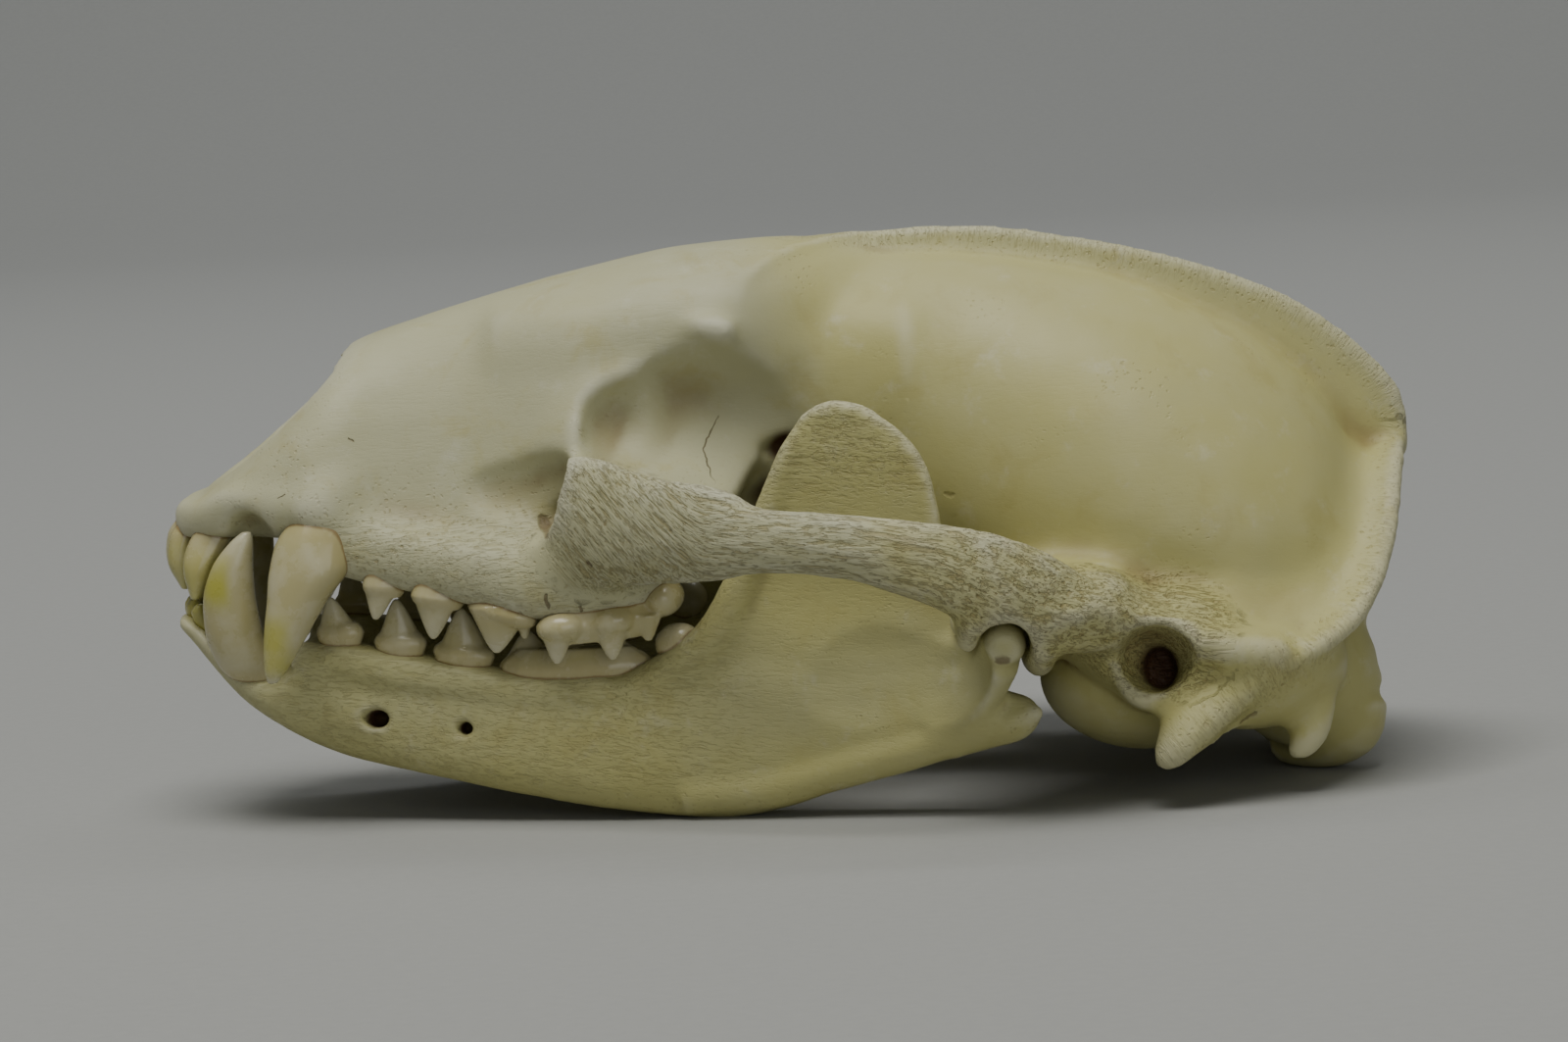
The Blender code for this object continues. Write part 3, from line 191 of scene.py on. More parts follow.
def ridge(name, edge, root, edge_half, root_half, step=1.2):
    """A crest from its free edge to a root line inside the bone, thick at the root and thin at the edge."""
    edge_path, edge_length = smooth_path(edge)
    root_path, root_length = smooth_path(root)
    share = np.linspace(0, 1, int(edge_length / step))
    top, foot = edge_path(share * edge_length), root_path(share * root_length)
    along = np.gradient(top, axis=0)
    across = np.cross(along, top - foot)
    across /= np.linalg.norm(across, axis=1, keepdims=True)
    profile = ((0.0, 1.0), (0.25, 0.62), (0.5, 0.32), (0.75, 0.12), (0.93, 0.02))

    def ring(level, half, way):
        half_here = edge_half + (root_half - edge_half) * half
        return foot + (top - foot) * level + across * half_here * way

    one_side = [ring(level, half, 1) for level, half in profile]
    other_side = [ring(level, half, -1) for level, half in reversed(profile)]
    return lofted(name, np.stack([*one_side, top, *other_side], axis=1))


def ellipsoid(name, centre, radii, turn=(0, 0, 0), detail=24):
    mesh = bpy.data.meshes.new(name)
    made = bmesh.new()
    bmesh.ops.create_uvsphere(made, u_segments=detail, v_segments=detail // 2, radius=1.0)
    spin = Matrix.Rotation(math.radians(turn[2]), 4, "Z")
    spin @= Matrix.Rotation(math.radians(turn[1]), 4, "Y")
    spin @= Matrix.Rotation(math.radians(turn[0]), 4, "X")
    place = Matrix.Translation(centre) @ spin @ Matrix.Diagonal((*radii, 1.0))
    bmesh.ops.transform(made, matrix=place, verts=made.verts)
    made.to_mesh(mesh)
    made.free()
    return linked(name, mesh)


def box(name, low, high):
    xs, ys, zs = zip(low, high)
    corners = [(x, y, z) for x in xs for y in ys for z in zs]
    faces = [(0, 1, 3, 2), (4, 6, 7, 5), (0, 4, 5, 1), (2, 3, 7, 6), (0, 2, 6, 4), (1, 5, 7, 3)]
    return object_of(name, corners, faces)


def plate(name, outline, half, edge, place):
    """A plate with round edges and a smooth closed outline in X and Z. place(x, z) gives its Y."""
    curve = bpy.data.curves.new(name, "CURVE")
    curve.dimensions = "2D"
    curve.fill_mode = "BOTH"
    curve.extrude = max(half - edge, 0.01)
    curve.bevel_depth = edge
    curve.offset = -edge
    curve.bevel_resolution = 3
    curve.resolution_u = 6
    spline = curve.splines.new("BEZIER")
    spline.bezier_points.add(len(outline) - 1)
    spline.use_cyclic_u = True
    for point, (x, z) in zip(spline.bezier_points, outline):
        point.co = (x, z, 0)
        point.handle_left_type = point.handle_right_type = "AUTO"
    obj = settled(linked(name, curve))
    weld(obj)
    for v in obj.data.vertices:
        x, z, off = v.co
        v.co = (x, place(x, z) + off, z)
    flip_if_inside_out(obj)
    return obj


def weld(obj, distance=0.01):
    made = bmesh.new()
    made.from_mesh(obj.data)
    bmesh.ops.remove_doubles(made, verts=made.verts, dist=distance)
    made.to_mesh(obj.data)
    made.free()


def flip_if_inside_out(obj):
    made = bmesh.new()
    made.from_mesh(obj.data)
    bmesh.ops.recalc_face_normals(made, faces=made.faces)
    if made.calc_volume(signed=True) < 0:
        bmesh.ops.reverse_faces(made, faces=made.faces)
    made.to_mesh(obj.data)
    made.free()


def mirrored(obj, name=None):
    mesh = obj.data.copy()
    mesh.transform(Matrix.Diagonal((1, -1, 1, 1)))
    mesh.flip_normals()
    return linked(name or obj.name + "_right", mesh)


def pair(obj):
    return [obj, mirrored(obj)]


def settled(obj):
    """The object as its modifiers leave it, as a new mesh object that takes its place."""
    graph = bpy.context.evaluated_depsgraph_get()
    graph.update()
    mesh = bpy.data.meshes.new_from_object(obj.evaluated_get(graph))
    name = obj.name
    bpy.data.objects.remove(obj)
    return linked(name, mesh)


def joined(name, objects):
    made = bmesh.new()
    for obj in objects:
        made.from_mesh(obj.data)
    mesh = bpy.data.meshes.new(name)
    made.to_mesh(mesh)
    made.free()
    for obj in objects:
        bpy.data.objects.remove(obj)
    return linked(name, mesh)


def grown(obj, by):
    """A copy of obj whose skin stands out by this much, to cut clearance for it."""
    copy = linked(obj.name + "_grown", obj.data.copy())
    swell = copy.modifiers.new("swell", "DISPLACE")
    swell.strength = by
    swell.mid_level = 0.0
    return settled(copy)


def fused(name, objects, voxel, rounds):
    """Overlapping closed pieces as one skin, softened where they meet."""
    whole = joined(name, objects)
    remesh = whole.modifiers.new("skin", "REMESH")
    remesh.mode = "VOXEL"
    remesh.voxel_size = voxel
    soften = whole.modifiers.new("soften", "SMOOTH")
    soften.factor = 0.5
    soften.iterations = rounds
    return settled(whole)


def thinned(obj, triangles):
    obj.data.calc_loop_triangles()
    thin = obj.modifiers.new("thin", "DECIMATE")
    thin.ratio = min(1.0, triangles / len(obj.data.loop_triangles))
    thin.use_collapse_triangulate = True
    return settled(obj)


def combined(obj, others, operation):
    """obj after one Boolean with a collection of closed pieces, which are then removed."""
    group = bpy.data.collections.new("pieces")
    bpy.context.scene.collection.children.link(group)
    for other in others:
        for home in list(other.users_collection):
            home.objects.unlink(other)
        group.objects.link(other)
    change = obj.modifiers.new("combine", "BOOLEAN")
    change.operation = operation
    change.operand_type = "COLLECTION"
    change.collection = group
    change.solver = "MANIFOLD"
    made = settled(obj)
    for other in others:
        bpy.data.objects.remove(other)
    bpy.data.collections.remove(group)
    return made


def largest_part(obj):
    return sorted(loose_parts(obj), key=lambda part: -len(part.data.polygons))[0]


def loose_parts(obj):
    """The separate bodies of obj, each as its own object, with the scraps left out."""
    made = bmesh.new()
    made.from_mesh(obj.data)
    part_of = [-1] * len(made.verts)
    parts = []
    for seed in made.verts:
        if part_of[seed.index] >= 0:
            continue
        number = len(parts)
        part_of[seed.index] = number
        found, queue = [seed], [seed]
        while queue:
            for edge in queue.pop().link_edges:
                for v in edge.verts:
                    if part_of[v.index] < 0:
                        part_of[v.index] = number
                        found.append(v)
                        queue.append(v)
        parts.append(found)
    faces_of = [[] for _ in parts]
    for face in made.faces:
        faces_of[part_of[face.verts[0].index]].append(face)
    objects = []
    for number, found in enumerate(parts):
        if len(found) <= SCRAP_POINTS:
            continue
        index = {v.index: i for i, v in enumerate(found)}
        faces = [tuple(index[v.index] for v in face.verts) for face in faces_of[number]]
        objects.append(object_of(f"{obj.name}_{number}", [v.co[:] for v in found], faces))
    made.free()
    bpy.data.objects.remove(obj)
    return objects


# Outline of the cranium from the side

TOP = [
    (-64.3, 31), (-61.5, 34), (-57, 37.6), (-51.7, 42.6), (-48.2, 46), (-45.2, 48.9), (-40.5, 50.5),
    (-30, 53.3), (-19.6, 55.6), (-9.2, 57.3), (1, 57.8), (6.2, 57.4), (12, 55.4),
]
TOOTH_LINE = [
    (-64.3, 29.6), (-58, 30), (-52, 29.8), (-48.6, 29.2), (-45, 26.8), (-42, 25.7), (-36, 24.8),
    (-31, 23.4), (-26, 21.8), (-22.5, 20.8), (-17, 21.6), (-13, 23.4), (-9, 25.2), (6, 26),
]


def snout_mass():
    low = [
        (-64.3, 6.4), (-61.5, 10), (-57, 13.2), (-52, 16), (-48.6, 17), (-45, 16.8), (-40, 16.8),
        (-35, 17.8), (-30, 19.6), (-25, 21.2), (-20, 22),
    ]
    high = [
        (-64.3, 6), (-61.5, 8.6), (-57, 10.8), (-52, 12), (-48, 12.2), (-44, 10.8), (-40, 9.4), (-35, 9.2),
        (-30, 10.6), (-25, 13), (-20, 15),
    ]
    return hull_loft("snout_mass", -64.3, -19.5, TOP, TOOTH_LINE, low, high, square=2.7, flat=6.0)


def canine_root_bulge():
    knots = [
        (-39, -9.6, 39.4, 2.2, 2), (-43.5, -11.6, 36.2, 3.2, 2.6), (-47, -13.4, 33, 4.2, 3.4),
        (-49, -14.4, 30.6, 4.4, 3.4),
    ]
    return swept("canine_root_bulge", knots, sides=16)


def front_tooth_ridge():
    """The rim of bone that holds the incisors and runs back to the canine."""
    knots = [
        (-62.8, 1, 31.8, 1.9, 1.7), (-62.4, -4, 31.9, 1.9, 1.7), (-60.4, -7.8, 32.2, 2, 1.8),
        (-56, -10.8, 33.8, 2.2, 2.2), (-51, -13, 33.2, 3, 2.8),
    ]
    return swept("front_tooth_ridge", knots)


def forehead_mass():
    bottom = [(-30, 44), (-20, 45.6), (-9, 47.2), (-5, 46.8), (0, 44), (6, 40), (12, 38)]
    low = [
        (-30, 13.5), (-20, 16.8), (-15.5, 17.2), (-9.4, 17.7), (-5, 18.4), (-2, 16), (2, 13.4), (6, 12.6),
        (12, 14),
    ]
    high = [(-30, 9.5), (-20, 12), (-9.4, 12.5), (-5, 12), (-2, 10.6), (2, 8.6), (6, 6.8), (12, 5.6)]
    return hull_loft("forehead_mass", -30.0, 12.0, TOP, bottom, low, high, square=2.3, flat=4.5)


def orbit_wall_mass():
    top = [(-26, 50), (-15, 52), (0, 53.6), (14, 53.4)]
    bottom = [(-26, 26), (-10, 25.5), (0, 22.5), (14, 17)]
    low = [(-26, 17), (-20, 14), (-12, 12.4), (-4, 11.2), (2, 10.6), (8, 11.6), (14, 13.6)]
    high = [(-26, 14), (-20, 11), (-12, 9.8), (-4, 11), (2, 12.2), (8, 13.2), (14, 15.8)]
    return hull_loft("orbit_wall_mass", -26.0, 14.0, top, bottom, low, high, square=2.8)


def orbit_front_mass():
    """The thick bone in front of the eye, from the brow to the cheek root, before the socket is cut."""
    top = [(-27, 47), (-20, 49.4), (-14, 50.6), (-8, 51), (3.5, 50)]
    bottom = [(-29, 25), (-20, 23.6), (-14, 24.2), (-8, 25.4), (-3, 34), (3.5, 40)]
    low = [(-29, 18.6), (-22, 23.6), (-18, 26), (-14, 27.6), (-8, 29), (-3, 20), (3.5, 9)]
    high = [(-29, 12), (-20, 18), (-14, 18.6), (-8, 18), (-3, 14), (3.5, 8)]
    return hull_loft("orbit_front_mass", -29.0, 3.5, top, bottom, low, high, square=2.5)


def orbit_cut():
    knots = [
        (-21.6, -20.5, 41, 2.4, 5), (-20.6, -21, 41.1, 4.4, 7.2), (-18.2, -22.8, 41.5, 6.4, 10.2),
        (-13, -25.3, 42.1, 8.6, 13.9), (-6, -28, 40.8, 10.2, 16.9), (2, -30, 37, 12.5, 18.6),
        (8, -31, 36, 13, 18.4),
    ]
    return swept("orbit_cut", knots, sides=32)


def cheek_inner_cut():
    """Clears the inner side of the arch behind the last molar."""
    knots = [(-12.4, -23.6, 29, 6, 2.6), (-6, -24.4, 29, 7, 5.4), (4, -26, 29, 8, 7)]
    return swept("cheek_inner_cut", knots)


def cheek_tooth_mass():
    top = [(-27, 37), (-20, 33), (-14, 30), (-9, 28.6)]
    low = [(-27, 19.8), (-20, 21.4), (-15, 20.6), (-12, 18.8), (-9, 15)]
    high = [(-27, 17), (-20, 18), (-14, 16.5), (-9, 13)]
    return hull_loft("cheek_tooth_mass", -27.0, -9.0, top, TOOTH_LINE, low, high, square=3.0)


def cheek_dip():
    """The wide shallow dip in the side of the face, in front of the cheek root."""
    return ellipsoid("cheek_dip", (-27.4, -23.6, 34.4), (8.8, 7.3, 6.2), (0, 0, -14))


def tooth_ridge():
    """The rim of bone that holds the upper cheek teeth."""
    knots = [
        (-47, -14, 29.6, 3.4, 2.4), (-42, -15, 28.2, 3.4, 2.5), (-36, -16.6, 27, 3.4, 2.8),
        (-30, -18.4, 25.8, 3.6, 3.1), (-25, -19, 24.6, 3.6, 3.6), (-18, -18.8, 25, 3.8, 4),
        (-13, -17.6, 26.6, 3.2, 3.4),
    ]
    return swept("tooth_ridge", knots, square=3.0)


def palate_mass():
    top = [(-14, 29), (0, 28.5), (5.5, 28)]
    bottom = [(-14, 25.4), (0, 25.4), (5.5, 25.6)]
    low = [(-14, 13), (-8, 10.5), (0, 8.6), (5.5, 8)]
    return hull_loft("palate_mass", -14.0, 5.5, top, bottom, low, low, square=4.0)


def pterygoid():
    knots = [
        (-3, -7.6, 26, 2.6, 1.3), (5, -7.2, 22.4, 4, 0.95), (11, -7, 19.6, 3.6, 0.85),
        (15.5, -7.4, 17, 2.2, 0.8),
    ]
    return swept("pterygoid", knots)


def brain_mass():
    top = [
        (4, 55.8), (12, 55.8), (20, 55.2), (30, 53.4), (38, 51), (46, 47.2), (52, 43), (57, 37.6),
        (60.5, 30),
    ]
    bottom = [(4, 24), (14, 19.5), (24, 15), (36, 12.6), (48, 11), (57, 12.4), (60.5, 15)]
    low = [
        (4, 10.4), (12, 14.6), (20, 19.6), (28, 23.2), (36, 26.6), (44, 27.4), (52, 25), (57, 20.4),
        (60.5, 11),
    ]
    high = [
        (4, 8.8), (12, 12), (20, 15), (28, 16.8), (36, 17.2), (44, 16.4), (52, 13.8), (57, 10), (60.5, 6),
    ]
    return hull_loft("brain_mass", 4.0, 60.5, top, bottom, low, high, square=2.15, sides=48)


def skull_base_mass():
    top = [(2, 29), (20, 26), (57, 20)]
    bottom = [(2, 25), (8, 21.4), (16, 17.2), (26, 13.6), (38, 11.4), (48, 8.8), (55.5, 5.4)]
    low = [(2, 7.4), (10, 8.6), (20, 10.6), (32, 12), (44, 13), (52, 15.4), (55.5, 14)]
    return hull_loft("skull_base_mass", 2.0, 57.0, top, bottom, low, low, square=3.0)


def ear_mass():
    return ellipsoid("ear_mass", (36.6, -21.6, 15.4), (9.0, 8.4, 5.6), (0, 6, 4))


def ear_roof_mass():
    """The bone above the ear, which joins the shelf to the braincase in a hollow curve."""
    return ellipsoid("ear_roof_mass", (36.5, -22.0, 17.3), (13.5, 7.4, 4.6), (0, 6, 4))


def neck_side_mass():
    """The bone behind the ear, between the nuchal crest and the base of the skull."""
    return ellipsoid("neck_side_mass", (46.4, -20.2, 12.6), (10.6, 8.8, 6.4), (0, 0, 26))


def brow_corner():
    """The small corner of the brow behind the eye."""
    knots = [(-10, -14.8, 50.2, 1, 1.2), (-7, -15.8, 49.8, 1.5, 1.6), (-4.6, -16.6, 49.2, 1.1, 1.1)]
    return swept("brow_corner", knots)


def cheek_root():
    """The front root of the cheek arch, which bridges the opening below the eye."""
    knots = [
        (-25, -17.4, 33.4, 3.6, 1.6), (-23.8, -19.4, 32.8, 5.2, 2.4), (-21.8, -21.6, 31.9, 6.6, 2.9),
        (-19, -23.2, 31, 6.8, 3), (-16, -24.8, 30.6, 6, 3), (-11, -27.8, 30.3, 5.2, 2.4),
    ]
    return swept("cheek_root", knots)


def root_foot():
    """Fills the corner below the front root, where it spreads on to the tooth ridge."""
    return ellipsoid("root_foot", (-22.6, -20.6, 26.8), (5.4, 2.9, 4.0), (0, 0, -14))


def cheek_arch():
    knots = [
        (-16, -24.8, 30.6, 5.7, 2.6), (-10.5, -27.8, 30.3, 5.3, 2.4), (-7, -29.8, 30.1, 4.9, 2.3),
        (-3.5, -31.6, 29.6, 3.6, 2.2), (0, -33.1, 29.4, 3.3, 2.1), (5, -35, 29, 3.4, 2.1),
        (9.4, -36.2, 28.1, 3.7, 2.1), (14, -36.8, 27, 4.2, 2.1), (19, -36.6, 25.1, 4.9, 2.4),
        (23.5, -35.2, 22.8, 5, 2.9), (27.5, -32.8, 20.8, 4.2, 3.2), (31.5, -29.8, 19.4, 3.2, 3.4),
        (36, -27.4, 18.4, 2.4, 3),
    ]
    return swept("cheek_arch", knots, step=1.0)


def jaw_socket_mass():
    return ellipsoid("jaw_socket_mass", (24.6, -25.6, 20.9), (10.0, 12.6, 3.9), (0, -8, 8))


def ear_shelf():
    """The shelf that runs from the arch over the ear opening to the nuchal crest."""
    knots = [
        (24, -33, 21.6, 2.2, 4), (29, -30.6, 20.2, 2.3, 5.4), (34, -28.2, 18.8, 2, 4.8),
        (39, -27.4, 17.6, 2, 4.6), (44, -27.6, 15.6, 2.4, 4.4), (49, -26, 14.6, 2.4, 4),
    ]
    return swept("ear_shelf", knots)


def front_lip():
    knots = [(17.4, -36, 21.5, 2.6, 1.5), (17.2, -34.2, 18.9, 1.6, 1.2), (17.6, -31.2, 18.4, 1, 1)]
    return swept("front_lip", knots)


def back_lip():
    knots = [
        (24.6, -35, 19, 2.6, 1.8), (24.6, -29, 16.8, 2.8, 1.8), (24.4, -21, 15.8, 2.6, 1.6),
        (24.6, -17.5, 17, 1.6, 1.2),
    ]
    return swept("back_lip", knots)


def ear_tube():
    knots = [(36.4, -18, 13.6, 4.6, 4.6), (36.4, -24, 13.6, 4.6, 4.6), (36.3, -28, 14.4, 4.7, 4.6)]
    return swept("ear_tube", knots)


def mastoid():
    knots = [
        (45, -25.4, 13, 6, 4.4), (41.8, -27.6, 10.4, 4.8, 3.6), (38.9, -29.5, 7.2, 3.1, 2.7),
        (37.1, -30.2, 4.9, 1.9, 1.8), (36.7, -30.3, 4, 1, 1),
    ]
    return swept("mastoid", knots, level=True)


def paroccipital():
    knots = [
        (51, -20.4, 13, 4.2, 4.4), (51.6, -22.4, 10, 3.3, 2.6), (51.9, -23.7, 7, 2.4, 1.8),
        (51.2, -24.3, 4.7, 1.9, 1.5), (50.2, -24.4, 3.5, 1.2, 1),
    ]
    return swept("paroccipital", knots, level=True)


def neck_condyle():
    knots = [
        (50.6, -4.6, 2.4, 2.4, 3), (53.6, -7.6, 2.9, 3.1, 3.6), (56.6, -9.9, 4.6, 3.9, 4.4),
        (57.6, -10.5, 7.4, 3.8, 4.2), (57.2, -9.9, 10, 2.6, 3.2),
    ]
    return swept("neck_condyle", knots)


def condyle_root():
    return ellipsoid("condyle_root", (52.4, -10.2, 10.4), (8.2, 7.2, 8.0), (0, 0, 10))


SAGITTAL_EDGE = [
    (3, 0, 57.4), (11.3, 0, 58.15), (16.5, 0, 58.3), (21.6, 0, 58), (31.8, 0, 56.25), (41.9, 0, 53.7),
    (52, 0, 49.8), (57, 0, 46.75), (62, 0, 42.2), (64.9, 0, 38.6), (65.6, 0, 35.6), (65.4, 0, 31.2),
]
SAGITTAL_ROOT = [(8, 0, 50), (18, 0, 49.5), (30, 0, 47), (44, 0, 40), (54, 0, 32), (57, 0, 28)]
NUCHAL_EDGE = [
    (65.5, 1, 34), (64.2, -7, 31), (62.8, -14, 26.3), (60.8, -19.5, 21.6), (57.6, -24.2, 17.4),
    (53.2, -27.6, 14.9), (48, -29.8, 13), (43.4, -30.9, 10.4), (39.4, -31.2, 7.2), (37, -30.9, 4.9),
]
NUCHAL_ROOT = [
    (57, 1, 30), (56.5, -6, 27), (55, -11.5, 23), (52.5, -15.5, 19.5), (49, -18.5, 17), (46.5, -20.5, 15.5),
    (45, -22, 14), (43.5, -24, 12.6), (42.4, -26, 10.6), (40.4, -28, 8.4),
]


def sagittal_crest():
    return ridge("sagittal_crest", SAGITTAL_EDGE, SAGITTAL_ROOT, 1.0, 3.8)


def nuchal_crest():
    return ridge("nuchal_crest", NUCHAL_EDGE, NUCHAL_ROOT, 0.9, 4.8)


def nuchal_foot():
    """A broad low body under the nuchal crest, from which the crest rises in a hollow curve."""
    edge = [tuple(r + (e - r) * 0.62 for e, r in zip(at_edge, at_root))
            for at_edge, at_root in zip(NUCHAL_EDGE[:7], NUCHAL_ROOT[:7])]
    return ridge("nuchal_foot", edge, NUCHAL_ROOT[:7], 2.2, 7.0)


def temple_line():
    edge = [
        (-4.8, -17, 48.9), (-4.6, -15.9, 50.2), (-3.8, -14, 53), (-1.6, -10.4, 55.6), (1.2, -6.6, 57),
        (5.6, -2.7, 57.9), (9.4, 0, 58.2),
    ]
    root = [
        (-7, -13, 46.5), (-7.5, -11.5, 48.5), (-7.4, -9, 50), (-5.4, -6, 51.5), (-2.4, -4, 52.5),
        (3, -1.5, 53), (8, 0, 54),
    ]
    return ridge("temple_line", edge, root, 0.5, 2.2)


def openings():
    """What is cut from the cranium: nose, palate, throat, ears, jaw sockets, neck and nerve openings."""
    nose = swept("nose_cut", [
        (-72, 0, 38.6, 4, 7.2), (-60, 0, 39.8, 4.4, 7.8), (-52, 0, 42.6, 4.8, 8.4),
        (-46, 0, 43.4, 4.6, 7.8), (-38, 0, 42.6, 4.4, 6.8), (-31, 0, 41.6, 2, 3),
    ], square=2.4)
    palate = swept("palate_cut", [
        (-62, 0, 27.6, 1.4, 4), (-58, 0, 27.6, 2.4, 6.8), (-50, 0, 26.6, 3.2, 8.8), (-40, 0, 23.4, 4.4, 10),
        (-28, 0, 20.4, 5.2, 11.6), (-18, 0, 19.6, 5.6, 12), (-10, 0, 20, 5, 11.4), (-4, 0, 20.6, 4.4, 8),
    ], square=2.8)
    throat = swept("throat_cut", [
        (24, 0, 14.6, 1.6, 3.6), (14, 0, 18, 2.8, 5.4), (7, 0, 21.6, 3.4, 5.4), (2, 0, 24.6, 2.6, 5.2),
        (-6, 0, 28.6, 1.6, 3.6),
    ], square=2.4)
    neck = ellipsoid("neck_cut", (59.5, 0, 12.6), (12.0, 7.0, 5.2), (0, 14, 0))
    hollow = swept("cheek_hollow", [
        (-35, -19.4, 35.2, 2.6, 4.4), (-31, -20, 35, 4.4, 5.2), (-27, -20.8, 34.7, 5.2, 5.2),
        (-24.8, -21.5, 34.5, 5.3, 4.9), (-23.4, -21.8, 34.2, 4.6, 4.3), (-22.6, -22.2, 33.9, 2.8, 2.8),
    ])
    canal = swept(
        "cheek_canal",
        [(-26, -18.4, 31.4, 1.3, 1.4), (-23.4, -17.6, 31.8, 1.4, 1.4), (-20.2, -16.8, 32.4, 1.2, 1.1)],
    )
    ear = swept("ear_cut", [
        (36, -34, 15.6, 4, 4.4), (36.2, -28, 14.7, 3.2, 3.6), (36.9, -24.6, 13.5, 2.2, 1.7),
        (37.1, -19, 13.1, 2, 1.5),
    ])
    socket = swept(
        "jaw_socket_cut",
        [(20.9, -40, 18, 2.75, 2.75), (20.9, -35, 18, 2.75, 2.75), (20.8, -17.6, 17.8, 2.6, 2.6)],
    )
    notch = ellipsoid("canine_notch", (-55.8, -13.4, 29.8), (2.9, 3.8, 3.4))
    optic = swept("optic_cut", [(-2.4, -13, 36.4, 1, 1), (2, -9.5, 37, 1.1, 1.1), (6, -6, 37.4, 0.8, 0.8)])
    fissure = swept(
        "fissure_cut", [(-8, -14.5, 31, 1.6, 1.4), (2, -9.5, 31, 2, 1.8), (9, -6.5, 30.6, 1.2, 1)],
    )
    sides = []
    for cut in (hollow, canal, ear, socket, notch, optic, fissure):
        sides += pair(cut)
    return [nose, palate, throat, neck, *sides]


def cranium_skin():
    """The whole cranium as one skin, with its openings cut and their rims softened."""
    masses = [
        snout_mass(), forehead_mass(), orbit_wall_mass(), cheek_tooth_mass(), palate_mass(), brain_mass(),
        skull_base_mass(),
    ]
    for side in (
        orbit_front_mass, tooth_ridge, canine_root_bulge, ear_mass, neck_side_mass, condyle_root,
        jaw_socket_mass, ear_shelf, ear_roof_mass, nuchal_foot,
    ):
        masses += pair(side())
    body = fused("cranium_masses", masses, MASS_VOXEL, MASS_SOFTENING)
    body = fused(
        "cranium_masses", [combined(body, pair(cheek_dip()), "DIFFERENCE")], MASS_VOXEL, DIP_SOFTENING,
    )
    details = [combined(body, pair(orbit_cut()), "DIFFERENCE"), sagittal_crest()]
    for side in (
        nuchal_crest, temple_line, brow_corner, front_tooth_ridge, cheek_root, root_foot, cheek_arch,
        front_lip, back_lip, ear_tube, mastoid, paroccipital, neck_condyle, pterygoid,
    ):
        details += pair(side())
    skin = fused("cranium", details, BONE_VOXEL, SKIN_SOFTENING)
    skin = combined(skin, openings() + pair(cheek_inner_cut()), "DIFFERENCE")
    return fused("cranium", [skin], BONE_VOXEL, SKIN_SOFTENING)


# Lower jaw, left half

JAW_BORDER = [
    (-64.2, 20.6), (-63.6, 20), (-59.7, 15.2), (-55.8, 11.5), (-47.6, 7), (-37.3, 4.5), (-27.1, 2.3),
    (-17, 0.6), (-8, -0.15), (-2, 0.7), (3.1, 2.4), (8.2, 3.8),
]
JAW_TOOTH_LINE = [
    (-64.2, 22), (-62, 21.2), (-58.2, 16.8), (-53.9, 15.8), (-48.1, 19), (-41.5, 18), (-37.4, 17.3),
    (-31.4, 15.8), (-24.4, 14.2), (-19.4, 13.8), (-14.8, 15.2), (-9.9, 16.6), (0, 18), (8.2, 18),
]


def jaw_body():
    middle = [
        (-64.2, -3.6), (-60, -5.4), (-55, -7.4), (-50, -8.8), (-45, -10.2), (-38, -12.4), (-30, -14.6),
        (-20, -16.9), (-10, -19.2), (0, -21.6), (8.2, -23.8),
    ]
    low = [
        (-64.2, 3), (-60, 4), (-55, 4.6), (-50, 4.2), (-45, 3.9), (-38, 3.7), (-30, 3.7), (-20, 3.7),
        (-10, 3.2), (0, 2.6), (8.2, 2),
    ]
    high = [
        (-64.2, 3.2), (-60, 5), (-55, 5.4), (-50, 4.4), (-45, 3.2), (-38, 2.9), (-30, 3.1), (-20, 3.2),
        (-10, 2.8), (0, 2.2), (8.2, 1.6),
    ]
    return hull_loft(
        "jaw_body", -64.2, 8.2, JAW_TOOTH_LINE, JAW_BORDER, low, high, middle=middle, square=2.5,
    )


def chin_mass():
    """Fills the jaw in to the middle line, where the two halves meet."""
    top = [(-63.8, 21.4), (-60, 19), (-54, 16.8), (-46, 15.6), (-38, 12)]
    bottom = [(-63.8, 20.2), (-60, 15.6), (-54, 10.8), (-46, 7.6), (-38, 6.8)]
    half = [(-63.8, 3), (-60, 5.4), (-54, 7.4), (-46, 8.6), (-38, 6)]
    middle = [(-63.8, -1.6), (-60, -3), (-54, -4.4), (-46, -5.6), (-38, -9)]
    return hull_loft("chin_mass", -63.8, -38.0, top, bottom, half, half, middle=middle, square=2.6)


def ramus_y(x, z):
    """How far out the ramus plate stands. It leans outwards to the back and a little to the top."""
    return -(21.2 + 0.27 * x + 0.035 * (z - 10.0))


def ramus():
    outline = [
        (-14, 12), (-9.6, 16.4), (-7.3, 19.6), (-4.9, 24.4), (-2, 31.6), (0.2, 38.4), (3, 41.9),
        (6.6, 42.4), (10.6, 40.3), (13.7, 36.8), (15.1, 32), (15.6, 26), (16.4, 21.4), (19.6, 18),
        (19.8, 13.4), (24.2, 10.9), (23.8, 8.6), (19, 6.6), (12, 5), (4, 3.6), (-6, 3.4),
    ]
    obj = plate("ramus", outline, 1.9, 1.2, ramus_y)
    thickness = through([(3.0, 1.25), (14.0, 1.1), (24.0, 0.8), (34.0, 0.62), (42.5, 0.5)])
    for v in obj.data.vertices:
        centre = ramus_y(v.co.x, v.co.z)
        v.co.y = centre + (v.co.y - centre) * float(thickness(v.co.z)[0])
    return obj


